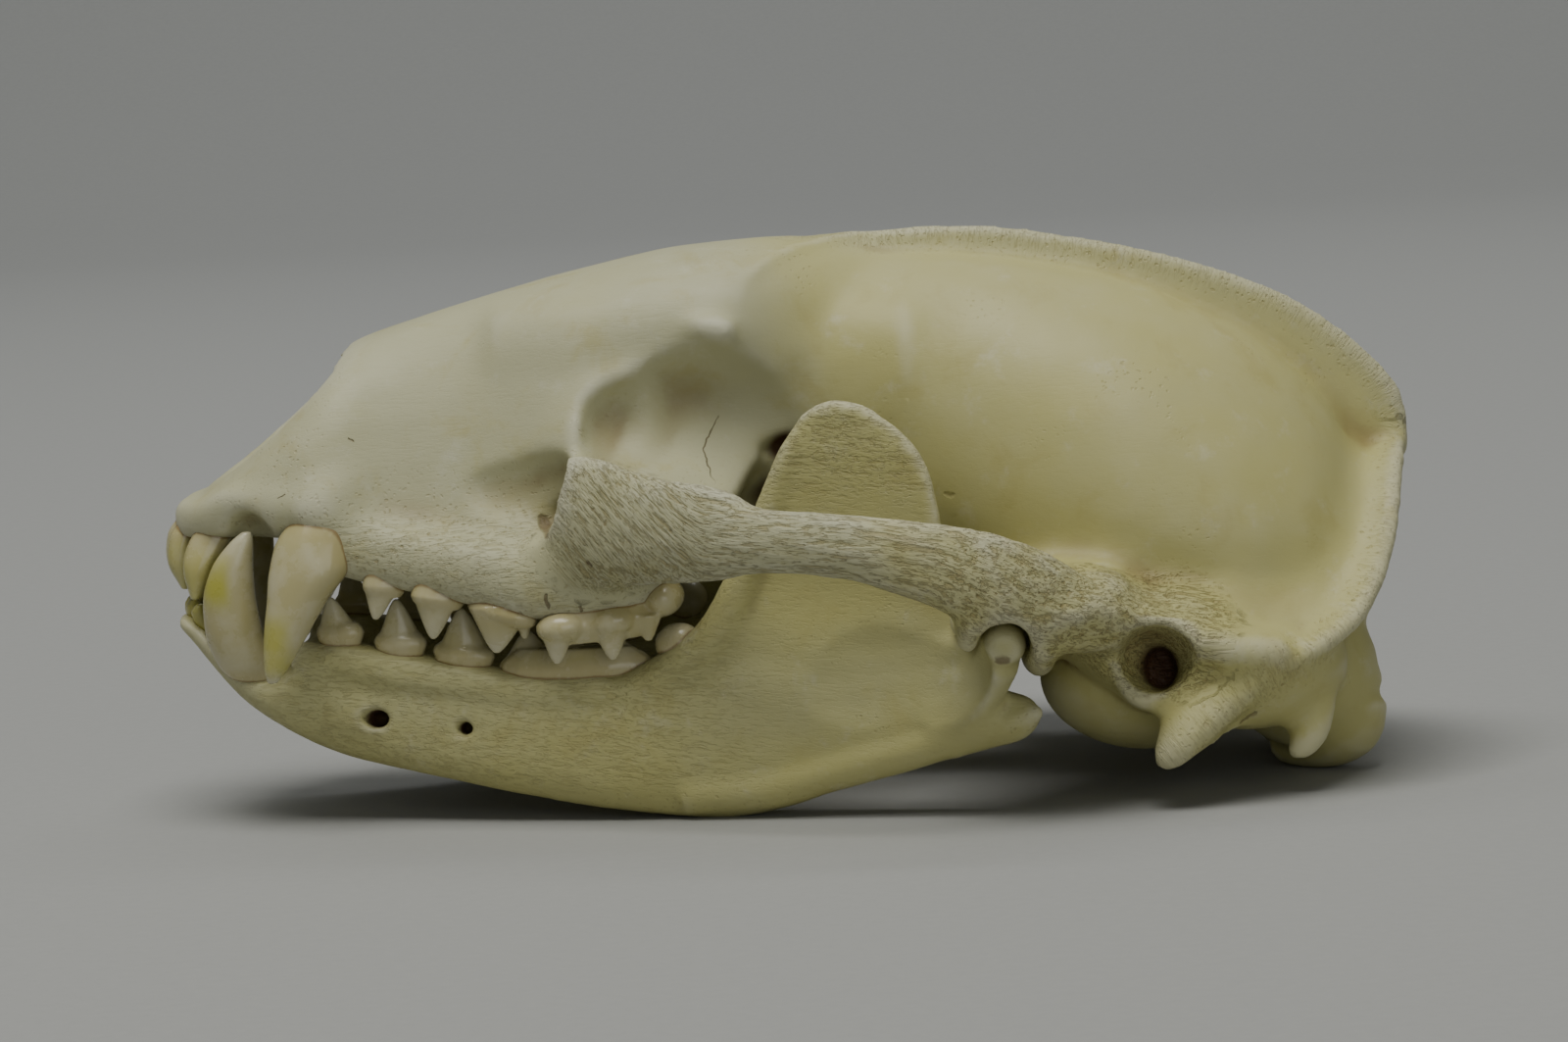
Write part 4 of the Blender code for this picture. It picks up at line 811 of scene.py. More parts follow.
def ramus_edges():
    """The thick edges round the hollow for the chewing muscle: front, lower border and neck."""
    front = swept("front_edge", [
        (-17, -18.4, 12.4, 2.6, 2.2), (-8.6, -20.2, 18, 2.3, 1.9), (-4.4, -21.6, 25.4, 1.9, 1.6),
        (-1.4, -22.4, 32.4, 1.6, 1.3), (1, -22.8, 38, 1.2, 1), (4.6, -23.2, 41, 0.9, 0.8),
    ])
    lower = swept("lower_edge", [
        (-12, -19.6, 2.6, 2.4, 2.4), (-4, -21.4, 3, 2.3, 2.3), (4, -23.3, 4.9, 2.2, 2.1),
        (12, -25.6, 6.8, 2, 1.9), (18.4, -27.8, 9, 1.7, 1.6), (22.4, -29, 9.9, 1.2, 1.2),
        (24.7, -29.4, 10.7, 0.6, 0.7),
    ])
    neck = swept(
        "neck_edge", [(6, -22.6, 14, 2.2, 1.6), (13, -25, 16.4, 2.2, 1.9), (18, -26.6, 17.4, 2.2, 2.6)],
    )
    return [front, lower, neck]


def jaw_condyle():
    x, y, z = CONDYLE_CENTRE
    knots = [
        (x - 0.2, y + 9.8, z - 0.4, 1.0, 1.0), (x - 0.1, y + 8.2, z - 0.2, 2.0, 1.9),
        (x, y, z, CONDYLE_RADIUS, CONDYLE_RADIUS), (x, y - 6.4, z, 2.25, 2.25),
        (x, y - 7.7, z - 0.2, 1.5, 1.5),
    ]
    return swept("jaw_condyle", knots)


def lower_tooth_ridge():
    """The rim of bone that holds the lower cheek teeth."""
    return swept("lower_tooth_ridge", [
        (-52, -11, 17.5, 1.6, 1.7), (-47, -12, 17.1, 1.9, 2), (-40.5, -13.3, 15.8, 2, 2.2),
        (-34, -14.7, 14.6, 2, 2.4), (-25, -16.4, 13.3, 2, 2.6), (-15, -18, 13.3, 1.8, 2.2),
    ], square=2.6)


def condyle_neck():
    """The neck that carries the joint roller and flows into the ramus below it."""
    return swept("condyle_neck", [
        (20.3, -31.6, 16.4, 2.3, 2.6), (18.7, -29.2, 13.6, 2.7, 2.4), (16.6, -27.4, 11, 3.6, 2.1),
        (13.8, -26.2, 8.6, 3.8, 1.6),
    ])


def jaw_cuts():
    hollow = ellipsoid("muscle_hollow", (6.6, -30.1, 14.6), (13.4, 5.6, 10.4), (0, -6, -14))
    large = swept("front_hole", [(-44.4, -16.4, 11.6, 0.95, 1.5), (-42.4, -11.0, 10.5, 0.9, 1.3)])
    small = swept("back_hole", [(-34.9, -18.8, 10.2, 0.75, 1.05), (-33.4, -13.0, 9.6, 0.7, 0.9)])
    return [hollow, large, small]


def jaw_skin():
    masses = [
        jaw_body(), chin_mass(), ramus(), *ramus_edges(), jaw_condyle(), condyle_neck(),
        lower_tooth_ridge(),
    ]
    skin = fused("mandible_left", masses, JAW_VOXEL, SKIN_SOFTENING)
    skin = combined(skin, jaw_cuts(), "DIFFERENCE")
    return fused("mandible_left", [skin], JAW_VOXEL, JAW_SOFTENING)


# Teeth, left side. Heights run from the gum to the tip: down for the upper ones and up for the lower ones.

# Length of the root stub inside the bone
ROOT = 2.4


def cusp(name, base, tip, base_half, tip_half=0.3, belly=0.55):
    """A cone from base to tip, both (x, y, z), whose rings lie flat. Halves are along X and Y."""
    (bx, by, bz), (tx, ty, tz) = base, tip
    knots = []
    for share, size in ((0.0, 1.0), (0.45, belly), (0.86, 0.2), (1.0, 0.0)):
        x, y, z = bx + (tx - bx) * share, by + (ty - by) * share, bz + (tz - bz) * share
        half = [tip_half + (b - tip_half) * size for b in base_half]
        knots.append((x, y, z, *half))
    return swept(name, knots, sides=12, step=0.5, level=True)


def crown_base(name, front, back, y, half_width, gum, way, slope=0.0, height=2.0, twist=0.0):
    """The waist of a cheek tooth with its root stub. way is +1 for teeth that point up, else -1."""
    middle, half = (front + back) / 2, (back - front) / 2
    rings = [
        (-ROOT, 0.62, 0.6), (-0.3, 0.88, 0.84), (height * 0.35, 1.0, 1.0), (height * 0.65, 0.94, 0.9),
        (height, 0.72, 0.6),
    ]
    knots = [(middle, y, gum + way * lift, half * a, half_width * b) for lift, a, b in rings]
    obj = swept(name, knots, sides=16, step=0.5, level=True, square=2.3)
    for v in obj.data.vertices:
        v.co.z += (v.co.x - middle) * slope
        v.co.y += (v.co.x - middle) * twist
    return obj


def tooth(name, pieces):
    return fused(name, pieces, TOOTH_VOXEL, TOOTH_SOFTENING)


def upper_incisor(number, root, neck, belly, tip, half):
    """root, neck, belly and tip are (x, y, z, half length); half is half the width across the front."""
    widths = (0.65, 0.9, 1.0, 0.75)
    knots = []
    for (x, y, z, depth), width in zip((root, neck, belly, tip), widths):
        knots.append((x, y, z, depth, half * width))
    return tooth(f"incisor_upper_{number}", [swept("incisor", knots, sides=12, step=0.6, level=True)])


def lower_incisor(number, x, y, tip, half):
    knots = [
        (x + 2.2, y, 18.6, 0.9, half * 0.6), (x + 0.6, y, 21.0, 1.0, half * 0.8),
        (x + 0.2, y, 22.4, 0.95, half), (x + 0.2, y, tip, 0.4, half * 0.8),
    ]
    return tooth(f"incisor_lower_{number}", [swept("incisor", knots, sides=12, step=0.6, level=True)])


def upper_canine():
    knots = [
        (-47.4, -14, 33, 3, 2), (-48.8, -15, 29.6, 4, 2.7), (-49.2, -15.5, 27.4, 4.2, 2.8),
        (-50.7, -16, 24, 3.15, 2.5), (-52.1, -16.4, 20.4, 2.25, 1.9), (-53.3, -16.7, 16.9, 1.15, 1.1),
        (-53.7, -16.8, 15.7, 0.5, 0.5),
    ]
    return tooth("canine_upper", [swept("canine", knots, sides=32, step=0.5, level=True)])


def lower_canine():
    knots = [
        (-54.4, -8.8, 13.4, 2.4, 1.6), (-56.9, -10.4, 17.2, 3, 2.1), (-57.9, -11.2, 20.5, 2.95, 2.2),
        (-58.1, -11.7, 23.9, 2.75, 2.1), (-57.6, -12, 27.2, 2.2, 1.8), (-56.4, -12.2, 30, 1.2, 1.1),
        (-55.8, -12.3, 31, 0.5, 0.5),
    ]
    return tooth("canine_lower", [swept("canine", knots, sides=32, step=0.5, level=True)])


def premolar(name, front, back, y, half_width, gum, tip_x, tip_z, slope, heel=0.0, twist=0.12):
    """A tooth with one main cusp. heel adds a lower second cusp behind it, at this share of the height."""
    way = 1 if tip_z > gum else -1
    half = (back - front) / 2
    lift = gum + (tip_x - (front + back) / 2) * slope
    side = y + (tip_x - (front + back) / 2) * twist
    middle = (front + back) / 2
    pieces = [
        crown_base("base", front, back, y, half_width, gum, way, slope, height=1.7, twist=twist),
        cusp("main", (middle, y, lift), (tip_x, side, tip_z), (half * 0.97, half_width * 0.94), belly=0.6),
    ]
    if heel:
        heel_x = back - half * 0.42
        pieces.append(cusp(
            "heel", (heel_x, side + half * 0.2, gum),
            (heel_x, side + half * 0.2, gum + (tip_z - gum) * heel), (half * 0.36, half_width * 0.7),
        ))
    return tooth(name, pieces)


def upper_molar():
    pieces = [
        crown_base("base", -26.2, -13.4, -19.8, 2.5, 21.7, -1, 0.06, height=2.9),
        ellipsoid("front_bulge", (-23.5, -20.9, 20.5), (2.7, 2.2, 1.7), (0, -6, 0)),
        ellipsoid("back_bulge", (-18.3, -21.0, 20.9), (2.5, 2.1, 1.6), (0, -6, 0)),
        ellipsoid("inner_shelf", (-20.0, -15.4, 22.6), (6.0, 4.6, 2.0)),
        ellipsoid("lobe", (-13.2, -18.9, 22.8), (2.3, 3.2, 2.0), (0, -20, 0)),
        cusp("front_cusp", (-24.0, -20.6, 20.8), (-24.2, -21.2, 16.8), (2.3, 1.9)),
        cusp("back_cusp", (-18.6, -20.8, 20.8), (-18.5, -21.4, 16.9), (2.4, 1.9)),
        cusp("rear_cusp", (-15.0, -20.4, 21.4), (-14.8, -20.8, 18.6), (1.9, 1.6)),
    ]
    return tooth("molar_upper", pieces)


def lower_molar():
    pieces = [
        crown_base("base", -30.6, -14.4, -16.4, 2.5, 14.6, 1, -0.01, height=3.2, twist=-0.1),
        cusp("front_cusp", (-27.4, -14.8, 16.4), (-27.4, -14.8, 19.6), (2.8, 1.8)),
        cusp("middle_cusp", (-23.0, -15.2, 16.4), (-23.0, -15.2, 18.9), (2.4, 1.7)),
        cusp("rear_cusp", (-18.0, -16.2, 16.0), (-17.8, -16.2, 18.4), (2.4, 1.6)),
    ]
    return tooth("molar_lower", pieces)


def last_lower_molar():
    pieces = [
        ellipsoid("crown", (-11.8, -18.3, 17.8), (2.5, 2.1, 2.2)),
        cusp("stub", (-12.0, -18.5, 17.3), (-12.0, -18.8, 14.2), (1.8, 1.6), tip_half=1.0),
    ]
    return tooth("molar_lower_last", pieces)


def upper_teeth():
    return [
        upper_incisor(
            1, (-62.6, -1.7, 32, 1.2), (-63.7, -1.75, 30, 1.5), (-64.1, -1.8, 27.4, 1.35),
            (-63.7, -1.8, 24.7, 0.5), 1.5,
        ),
        upper_incisor(
            2, (-62, -4.6, 32, 1.2), (-63.1, -5, 30.2, 1.5), (-63.6, -5.1, 27.5, 1.4),
            (-63.2, -5.1, 24.6, 0.5), 1.5,
        ),
        upper_incisor(
            3, (-58.8, -7.8, 32.4, 1.7), (-60.2, -8.4, 29.6, 2.2), (-61.3, -8.8, 27.1, 1.75),
            (-61.8, -8.9, 23.9, 0.6), 1.6,
        ),
        upper_canine(), premolar("premolar_upper_2", -44.0, -39.5, -15.8, 1.5, 25.6, -42.8, 21.6, -0.1),
        premolar("premolar_upper_3", -39.0, -33.4, -17.2, 1.9, 24.3, -36.9, 19.5, -0.16),
        premolar(
            "premolar_upper_4", -33.2, -26.0, -19.0, 2.2, 22.6, -30.4, 17.9, -0.24, heel=0.74, twist=-0.16,
        ),
        upper_molar(),
    ]


def lower_teeth():
    return [
        lower_incisor(1, -63.2, -1.6, 23.4, 1.1), lower_incisor(2, -62.8, -4.1, 23.4, 1.2),
        lower_incisor(3, -62.0, -6.5, 23.0, 1.2), lower_canine(),
        premolar(
            "premolar_lower_2", -49.4, -44.3, -12.0, 1.5, 19.4, -47.7, 23.7, -0.02, heel=0.3, twist=-0.1,
        ),
        premolar("premolar_lower_3", -43.4, -37.8, -13.2, 1.7, 18.2, -40.8, 23.3, -0.06, twist=-0.1),
        premolar(
            "premolar_lower_4", -37.3, -30.8, -14.6, 1.9, 16.9, -34.1, 22.2, -0.12, heel=0.3, twist=-0.1,
        ),
        lower_molar(), last_lower_molar(),
    ]


def floor_cut():
    return box("floor_cut", (-90, -60, -20), (90, 60, FLOOR))


# Values for each point of a skin, which the materials read

def vertex_values(obj, key):
    flat = np.empty(len(obj.data.vertices) * 3, np.float32)
    obj.data.vertices.foreach_get(key, flat)
    return flat.reshape(-1, 3).astype(float)


def points_of(obj):
    return vertex_values(obj, "co")


def normals_of(obj):
    return vertex_values(obj, "normal")


def move_points(obj, points):
    obj.data.vertices.foreach_set("co", points.astype(np.float32).ravel())
    obj.data.update()


def store(obj, name, values):
    kind = "FLOAT" if values.ndim == 1 else "FLOAT_VECTOR"
    layer = obj.data.attributes.new(name, kind, "POINT")
    key = "value" if values.ndim == 1 else "vector"
    layer.data.foreach_set(key, values.astype(np.float32).ravel())


def step(value, low, high):
    t = np.clip((value - low) / (high - low), 0, 1)
    return t * t * (3 - 2 * t)


def near_line(points, knots, samples=60):
    """For each point: its distance to a path, how far along it the nearest place lies, and that place."""
    path, length = smooth_path([k[:3] for k in knots])
    s = np.linspace(0, length, samples)
    line = path(s)
    best = np.full(len(points), 1e9)
    found = np.zeros(len(points), int)
    for i, place in enumerate(line):
        gap = np.sum((points - place) ** 2, axis=1)
        closer = gap < best
        best[closer] = gap[closer]
        found[closer] = i
    # Between two samples the place slides along the path's direction.
    ahead = np.gradient(line, s, axis=0)[found]
    slide = np.sum((points - line[found]) * ahead, axis=1)
    slide = np.clip(slide, -length / samples, length / samples)
    return np.sqrt(best), s[found] + slide, line[found] + ahead * slide[:, None]


def hollowness(obj, rounds):
    """How far each point lies below the softened skin, in millimetres. On edges it is negative."""
    points = points_of(obj)
    edges = np.empty(len(obj.data.edges) * 2, np.int32)
    obj.data.edges.foreach_get("vertices", edges)
    a, b = edges.reshape(-1, 2).T
    count = np.bincount(a, minlength=len(points)) + np.bincount(b, minlength=len(points))
    soft = points.copy()
    for _ in range(rounds):
        total = np.zeros_like(soft)
        for k in range(3):
            total[:, k] = (
                np.bincount(a, soft[b, k], len(points)) + np.bincount(b, soft[a, k], len(points))
            )
        soft = total / count[:, None]
    return np.sum((soft - points) * normals_of(obj), axis=1)


def left_side(points):
    """The points with both sides of the skull folded on to the left one."""
    folded = points.copy()
    folded[:, 1] = -np.abs(folded[:, 1])
    return folded


ARCH_LINE = [
    (-19, -23.2, 31), (-11, -27.8, 30.3), (-3.5, -31.6, 29.6), (5, -35, 29.1), (14, -36.8, 27.6),
    (23.5, -35.2, 22.8), (31.5, -29.8, 19.4), (38, -27, 17.6),
]
CREST_LINE = [
    (3, 0, 57.4), (16.5, 0, 58.3), (31.8, 0, 56.2), (41.9, 0, 53.7), (52, 0, 49.8), (62, 0, 42.2),
    (65.6, 0, 35.6),
]
NUCHAL_LINE = [(65.5, -1, 34), (62.8, -14, 26.3), (57.6, -24.2, 17.4), (48, -29.8, 13), (37, -30.9, 4.9)]
# Openings whose insides are painted dark as painted shade: centre and radius, in millimetres
SHADED_OPENINGS = [
    ((36.6, -22, 13.8), 4.2), ((37.4, -19, 13.4), 2.6), ((0, -10.5, 36.8), 2.2), ((-1, -11, 31.2), 3),
    ((-20.4, -18.8, 33.6), 1.9), ((12, 0, 19.8), 4.6), ((4, 0, 25), 4), ((50, 0, 10.4), 6),
    ((-36, 0, 42), 8.5),
]
SHADED_JAW_OPENINGS = [((-43, -12.4, 10.9), 2), ((-34.1, -14.8, 9.8), 1.2)]


def grain_of_cranium(points):
    """Fibre directions as stretched coordinates in millimetres, and how strong the fibres are."""
    side = left_side(points)
    x, y, z = side.T
    arch_far, along, nearest = near_line(side, ARCH_LINE)
    on_arch = step(arch_far, 7.8, 5.4) * step(x, -26.5, -21)
    crest_far, crest_along, _ = near_line(side, CREST_LINE)
    nuchal_far, nuchal_along, _ = near_line(side, NUCHAL_LINE)
    rim_far = np.minimum(crest_far, nuchal_far)
    on_rim = step(rim_far, 4.0, 0.8) * 0.3
    along_rim = np.where(crest_far < nuchal_far, crest_along, nuchal_along)
    gum = step(z, 34.0, 29.0) * step(x, -4.0, -12.0) * step(x, -62, -52) * 0.36
    faint = 0.04 - step(x, -14, 6) * 0.02
    clear = (1 - step(arch_far, 8.9, 7.8) * step(x, -28.2, -26.6)) * step(rim_far, 4.1, 5.4)

    level = np.column_stack([x * 0.22, y, z * 1.2])
    # At the root of the arch the fibres run down and back; further along they follow the arch.
    ahead = np.maximum(0, -8.0 - x)
    slant = ahead * ahead / (ahead + 4.0) * 1.25
    stretched = along * 0.17 + np.maximum(0, along - 38.0) * 0.22
    arch = np.column_stack(
        [stretched - slant * 0.06, side[:, 1] - nearest[:, 1], (side[:, 2] - nearest[:, 2] - slant)]
    )
    rim = np.column_stack([along_rim * 1.1, rim_far * 0.2, y * 0.2])
    on_rim = np.where(on_arch > 0, 0, on_rim)
    grain = np.where((on_rim > 0)[:, None], rim, level)
    grain = np.where((on_arch > 0)[:, None], arch, grain)
    rest = np.where((on_arch > 0) | (on_rim > 0), 0, np.maximum(gum, faint) * clear)
    return grain, np.maximum.reduce([on_arch, on_rim, rest])


def rim_distance(side):
    """How far each point lies from the edges of the two crests."""
    return np.minimum(near_line(side, CREST_LINE)[0], near_line(side, NUCHAL_LINE)[0])


def pits_of_cranium(points):
    """How thickly the skin is pitted: most at the back of the arch, less on the rims and gums."""
    side = left_side(points)
    x, _, z = side.T
    arch = step(near_line(side, ARCH_LINE)[0], 9.0, 5.0) * step(x, 8.0, 20.0)
    rims = step(rim_distance(side), 5.5, 1.5) * 0.6
    gums = step(z, 41.0, 30.0) * step(x, -2.0, -10.0) * step(x, -63, -56) * 0.55
    return np.maximum.reduce([arch, rims, gums])


def roughened(obj, grain, amount, fine=0.05):
    """Moves the skin in and out along its fibres, and a little everywhere, as dry bone is uneven."""
    points, normals = points_of(obj), normals_of(obj)
    shift = np.empty(len(points))
    for i, (place, stretched) in enumerate(zip(points, grain)):
        shift[i] = noise_at(
            Vector(stretched * 1.1)
        ) * amount[i] * 0.13 + noise_at(Vector(place * 0.32)) * fine
    move_points(obj, points + normals * shift[:, None])


def tone_and_shade_of_cranium(points):
    """0 where the bone is pale and cool, as on the face, and 1 where it is yellow, as on the braincase. Low
    on the back of the braincase it is raised as painted shade.
    """
    side = left_side(points)
    x, _, z = side.T
    lean = (57.0 - z) * 0.25
    face = step(x, -6.0 + lean, 4.0 + lean)
    # Painted shade: the low back of the braincase, round the ear bones, is pushed towards the yellower,
    # darker tone.
    low = step(z, 30, 14) * step(x, 5, 30) * 0.35
    rims = step(rim_distance(side), 4.5, 1.5) * 0.28
    arch = step(near_line(side, ARCH_LINE)[0], 6.0, 3.5) * 0.45
    return np.clip(face * 0.9 - np.maximum(rims, arch) + low, 0, 1)


# Painted shade: 1 inside and near the listed openings, 0 away from them.
def hole_shade_of(points, holes):
    side = left_side(points)
    hole_shade = np.zeros(len(points))
    for centre, radius in holes:
        gap = np.linalg.norm(side - np.array(centre), axis=1)
        hole_shade = np.maximum(hole_shade, step(gap, radius * 1.15, radius * 0.55))
    return hole_shade


# Materials

PALE_BONE = (0.455, 0.447, 0.275)
WARM_BONE = (0.458, 0.430, 0.170)
DEEP_BONE = (0.385, 0.335, 0.11)
CHALK = (0.66, 0.66, 0.56)
# Painted highlight for sharp edges
EDGE_HIGHLIGHT = (0.64, 0.63, 0.52)
GROOVE = (0.25, 0.185, 0.055)
# Painted shade for the fine creases
CREASE_SHADE = (0.19, 0.125, 0.04)
# Painted shade for the wide hollows
HOLLOW_SHADE = (0.25, 0.205, 0.075)
# Painted shade for the insides of openings
HOLE_SHADE = (0.075, 0.034, 0.012)
MARK_BROWN = (0.12, 0.075, 0.027)

ENAMEL = (0.45, 0.405, 0.20)
ENAMEL_PALE = (0.52, 0.485, 0.30)
ENAMEL_TIP = (0.58, 0.56, 0.41)
ENAMEL_NECK = (0.43, 0.355, 0.145)
# The brown stain at the gum line, also used as painted shade in the creases of the crowns
GUM_STAIN_AND_CREASE_SHADE = (0.17, 0.085, 0.022)
STAIN = (0.42, 0.40, 0.055)

FLOOR_GREY = (0.315, 0.32, 0.305)
FLOOR_PALE = (0.345, 0.35, 0.335)

# Cracks and small openings seen on the left side: start, end and half width, in millimetres
MARKS = [
    ((-6.7, -15, 40.4), (-8.3, -15, 37.2), 0.075), ((-8.3, -15, 37.2), (-7.2, -15, 33.6), 0.075),
    ((40.2, -29, 20.2), (42.6, -29, 19.4), 0.07), ((51.5, -22, 14.2), (50.4, -22, 12), 0.09),
    ((50.4, -22, 12), (49.2, -22, 10.9), 0.09), ((50.4, -22, 13.5), (50.9, -22, 13), 0.08),
    ((16.2, -27, 31.4), (16.9, -27, 31.3), 0.36), ((44.6, -20, 8), (46, -20, 8.9), 0.3),
    ((-24.9, -21, 24), (-24.8, -21, 22.8), 0.19), ((-21.6, -21.5, 22.6), (-21.4, -21.5, 22.1), 0.16),
    ((-25, -18.5, 31.3), (-24.7, -18.5, 30.3), 0.5), ((20.4, -34, 16.6), (20.9, -34, 16.6), 0.5),
    ((-52, -17, 34.6), (-51.3, -17, 34.9), 0.09), ((-44.6, -15, 40.2), (-44.2, -15, 39.8), 0.09),
    ((-30.4, -18, 42.6), (-29.6, -18, 43.3), 0.10), ((-20.3, -24.5, 27.4), (-20.2, -24.5, 27.3), 0.20),
]
# How much a mark's depth counts against its place in the side view
ACROSS = 0.03
# How far noise bends the marks, and the pores, so that none is a straight line or a round dot
MARK_WOBBLE = (0.9, 0.0, 0.7)
PORE_TWIST = (0.0012, 0.0012, 0.0012)


def new_material(name):
    """A material, its node tree, its shader and the piece's own coordinates."""
    material = bpy.data.materials.new(name)
    material.use_nodes = True
    tree = material.node_tree
    place = tree.nodes.new("ShaderNodeTexCoord").outputs["Object"]
    return material, tree, tree.nodes["Principled BSDF"], place


def link(tree, source, target):
    tree.links.new(source, target)


def fill(tree, socket, value):
    """Gives a socket a number, a vector, a colour or the output of another node."""
    if isinstance(value, (int, float)):
        socket.default_value = value
    elif isinstance(value, tuple):
        socket.default_value = value if socket.type == "VECTOR" else (*value, 1.0)
    elif value is not None:
        link(tree, value, socket)


def maths(tree, operation, first, second=None, clamp=False):
    made = tree.nodes.new("ShaderNodeMath")
    made.operation = operation
    made.use_clamp = clamp
    fill(tree, made.inputs[0], first)
    fill(tree, made.inputs[1], second)
    return made.outputs[0]


def times(tree, first, second, clamp=False):
    return maths(tree, "MULTIPLY", first, second, clamp)


def plus(tree, first, second, clamp=False):
    return maths(tree, "ADD", first, second, clamp)


def minus(tree, first, second):
    return maths(tree, "SUBTRACT", first, second)


def most(tree, first, second):
    return maths(tree, "MAXIMUM", first, second)


def vectors(tree, operation, first, second=None):
    """The result of a vector operation, which is a number for DOT_PRODUCT and LENGTH."""
    made = tree.nodes.new("ShaderNodeVectorMath")
    made.operation = operation
    fill(tree, made.inputs[0], first)
    fill(tree, made.inputs[1], second)
    return made.outputs["Value" if operation in ("DOT_PRODUCT", "LENGTH") else "Vector"]


def ranged(tree, value, low, high, out_low=0.0, out_high=1.0):
    made = tree.nodes.new("ShaderNodeMapRange")
    made.interpolation_type = "SMOOTHSTEP"
    link(tree, value, made.inputs["Value"])
    for name, number in (("From Min", low), ("From Max", high), ("To Min", out_low), ("To Max", out_high)):
        made.inputs[name].default_value = number
    return made.outputs["Result"]


def mixed(tree, factor, first, second):
    made = tree.nodes.new("ShaderNodeMix")
    made.data_type = "RGBA"
    for socket, value in ((0, factor), (6, first), (7, second)):
        fill(tree, made.inputs[socket], value)
    return made.outputs[2]


def attribute(tree, name, output="Fac"):
    """A value that the script stored for each point of the skin."""
    made = tree.nodes.new("ShaderNodeAttribute")
    made.attribute_name = name
    return made.outputs[output]


def texture(tree, kind, coordinates, scale):
    made = tree.nodes.new(kind)
    made.inputs["Scale"].default_value = scale
    link(tree, coordinates, made.inputs["Vector"])
    return made


def noise(tree, coordinates, scale, detail=3.0, rough=0.5, twist=0.0):
    made = texture(tree, "ShaderNodeTexNoise", coordinates, scale)
    made.inputs["Detail"].default_value = detail
    made.inputs["Roughness"].default_value = rough
    made.inputs["Distortion"].default_value = twist
    return made.outputs["Fac"]


def cloud_vector(tree, coordinates, scale):
    return texture(tree, "ShaderNodeTexNoise", coordinates, scale).outputs["Color"]


def cells(tree, coordinates, scale):
    return texture(tree, "ShaderNodeTexVoronoi", coordinates, scale).outputs["Distance"]


def bumped(tree, shader, height, strength, distance):
    bump = tree.nodes.new("ShaderNodeBump")
    bump.inputs["Strength"].default_value = strength
    bump.inputs["Distance"].default_value = distance
    link(tree, height, bump.inputs["Height"])
    link(tree, bump.outputs["Normal"], shader.inputs["Normal"])


def one_mark(tree, place, start, end, half):
    """1 on the line from start to end and 0 away from it, in the squashed space of all_marks."""
    start, end = Vector(start), Vector(end)
    start.y, end.y = start.y * ACROSS, end.y * ACROSS
    along = end - start
    from_start = vectors(tree, "SUBTRACT", place, tuple(start))
    share = times(
        tree, vectors(tree, "DOT_PRODUCT", from_start, tuple(along)), 1 / along.length_squared, True,
    )
    off = vectors(tree, "SUBTRACT", from_start, vectors(tree, "MULTIPLY", share, tuple(along)))
    return ranged(tree, vectors(tree, "LENGTH", off), half * 1.3, half * 0.5)


def all_marks(tree, place):
    """All the marks together. Depth counts little, so that a mark lands on the skin wherever that lies."""
    wobble = vectors(tree, "SUBTRACT", cloud_vector(tree, place, 900.0), (0.5, 0.5, 0.5))
    shift = vectors(tree, "MULTIPLY", wobble, MARK_WOBBLE)
    squashed = vectors(tree, "MULTIPLY", place, (1 / MM, ACROSS / MM, 1 / MM))
    moved = vectors(tree, "ADD", squashed, shift)
    total = None
    for start, end, half in MARKS:
        found = one_mark(tree, moved, start, end, half)
        total = found if total is None else most(tree, total, found)
    return total


def bone_base(tree, place, tone_and_shade):
    """The ground colour: two tones of bone, whose mix also carries painted shade low on the skull and jaw,
    under broad stains and chalky patches.
    """
    clouds = noise(tree, place, 70.0, 4.0, 0.6)
    warmth = plus(tree, tone_and_shade, times(tree, minus(tree, clouds, 0.5), 0.95), True)
    base = mixed(tree, warmth, PALE_BONE, WARM_BONE)
    blotch = ranged(tree, noise(tree, place, 160.0, 5.0, 0.62, 0.4), 0.52, 0.72, 0.0, 0.42)
    base = mixed(tree, blotch, base, DEEP_BONE)
    chalk = ranged(tree, noise(tree, place, 230.0, 5.0, 0.7), 0.55, 0.75, 0.0, 0.22)
    return mixed(tree, chalk, base, CHALK)


def bone_pores(tree, place):
    """Fine pores in patches, and wider ones where the skin is pitted."""
    pitted = attribute(tree, "pitted")
    patches = ranged(tree, noise(tree, place, 90.0, 2.0), 0.54, 0.72, 0.0, 0.5)
    twist = vectors(tree, "MULTIPLY", cloud_vector(tree, place, 600.0), PORE_TWIST)
    twisted = vectors(tree, "ADD", place, twist)
    pores = times(tree, ranged(tree, cells(tree, twisted, 1500.0), 0.30, 0.12), most(tree, patches, pitted))
    sparse = ranged(tree, noise(tree, place, 210.0, 1.0), 0.44, 0.56)
    wide = ranged(tree, cells(tree, twisted, 460.0), 0.13, 0.07)
    wide = times(tree, wide, times(tree, sparse, ranged(tree, pitted, 0.1, 0.4)))
    return most(tree, pores, wide)


def bone_relief(tree, place, amount, fibres, grooves, pores, marks):
    """Fibres where the skin has them, pores, marks and a fine dry surface, as a height."""
    relief = times(tree, fibres, times(tree, amount, 1.6))
    relief = minus(tree, relief, times(tree, grooves, times(tree, amount, 0.8)))
    relief = minus(tree, relief, times(tree, pores, 0.5))
    relief = minus(tree, relief, times(tree, marks, 0.8))
    relief = plus(tree, relief, times(tree, noise(tree, place, 900.0, 4.0, 0.65), 0.10))
    return plus(tree, relief, times(tree, noise(tree, place, 260.0, 3.0), 0.2))


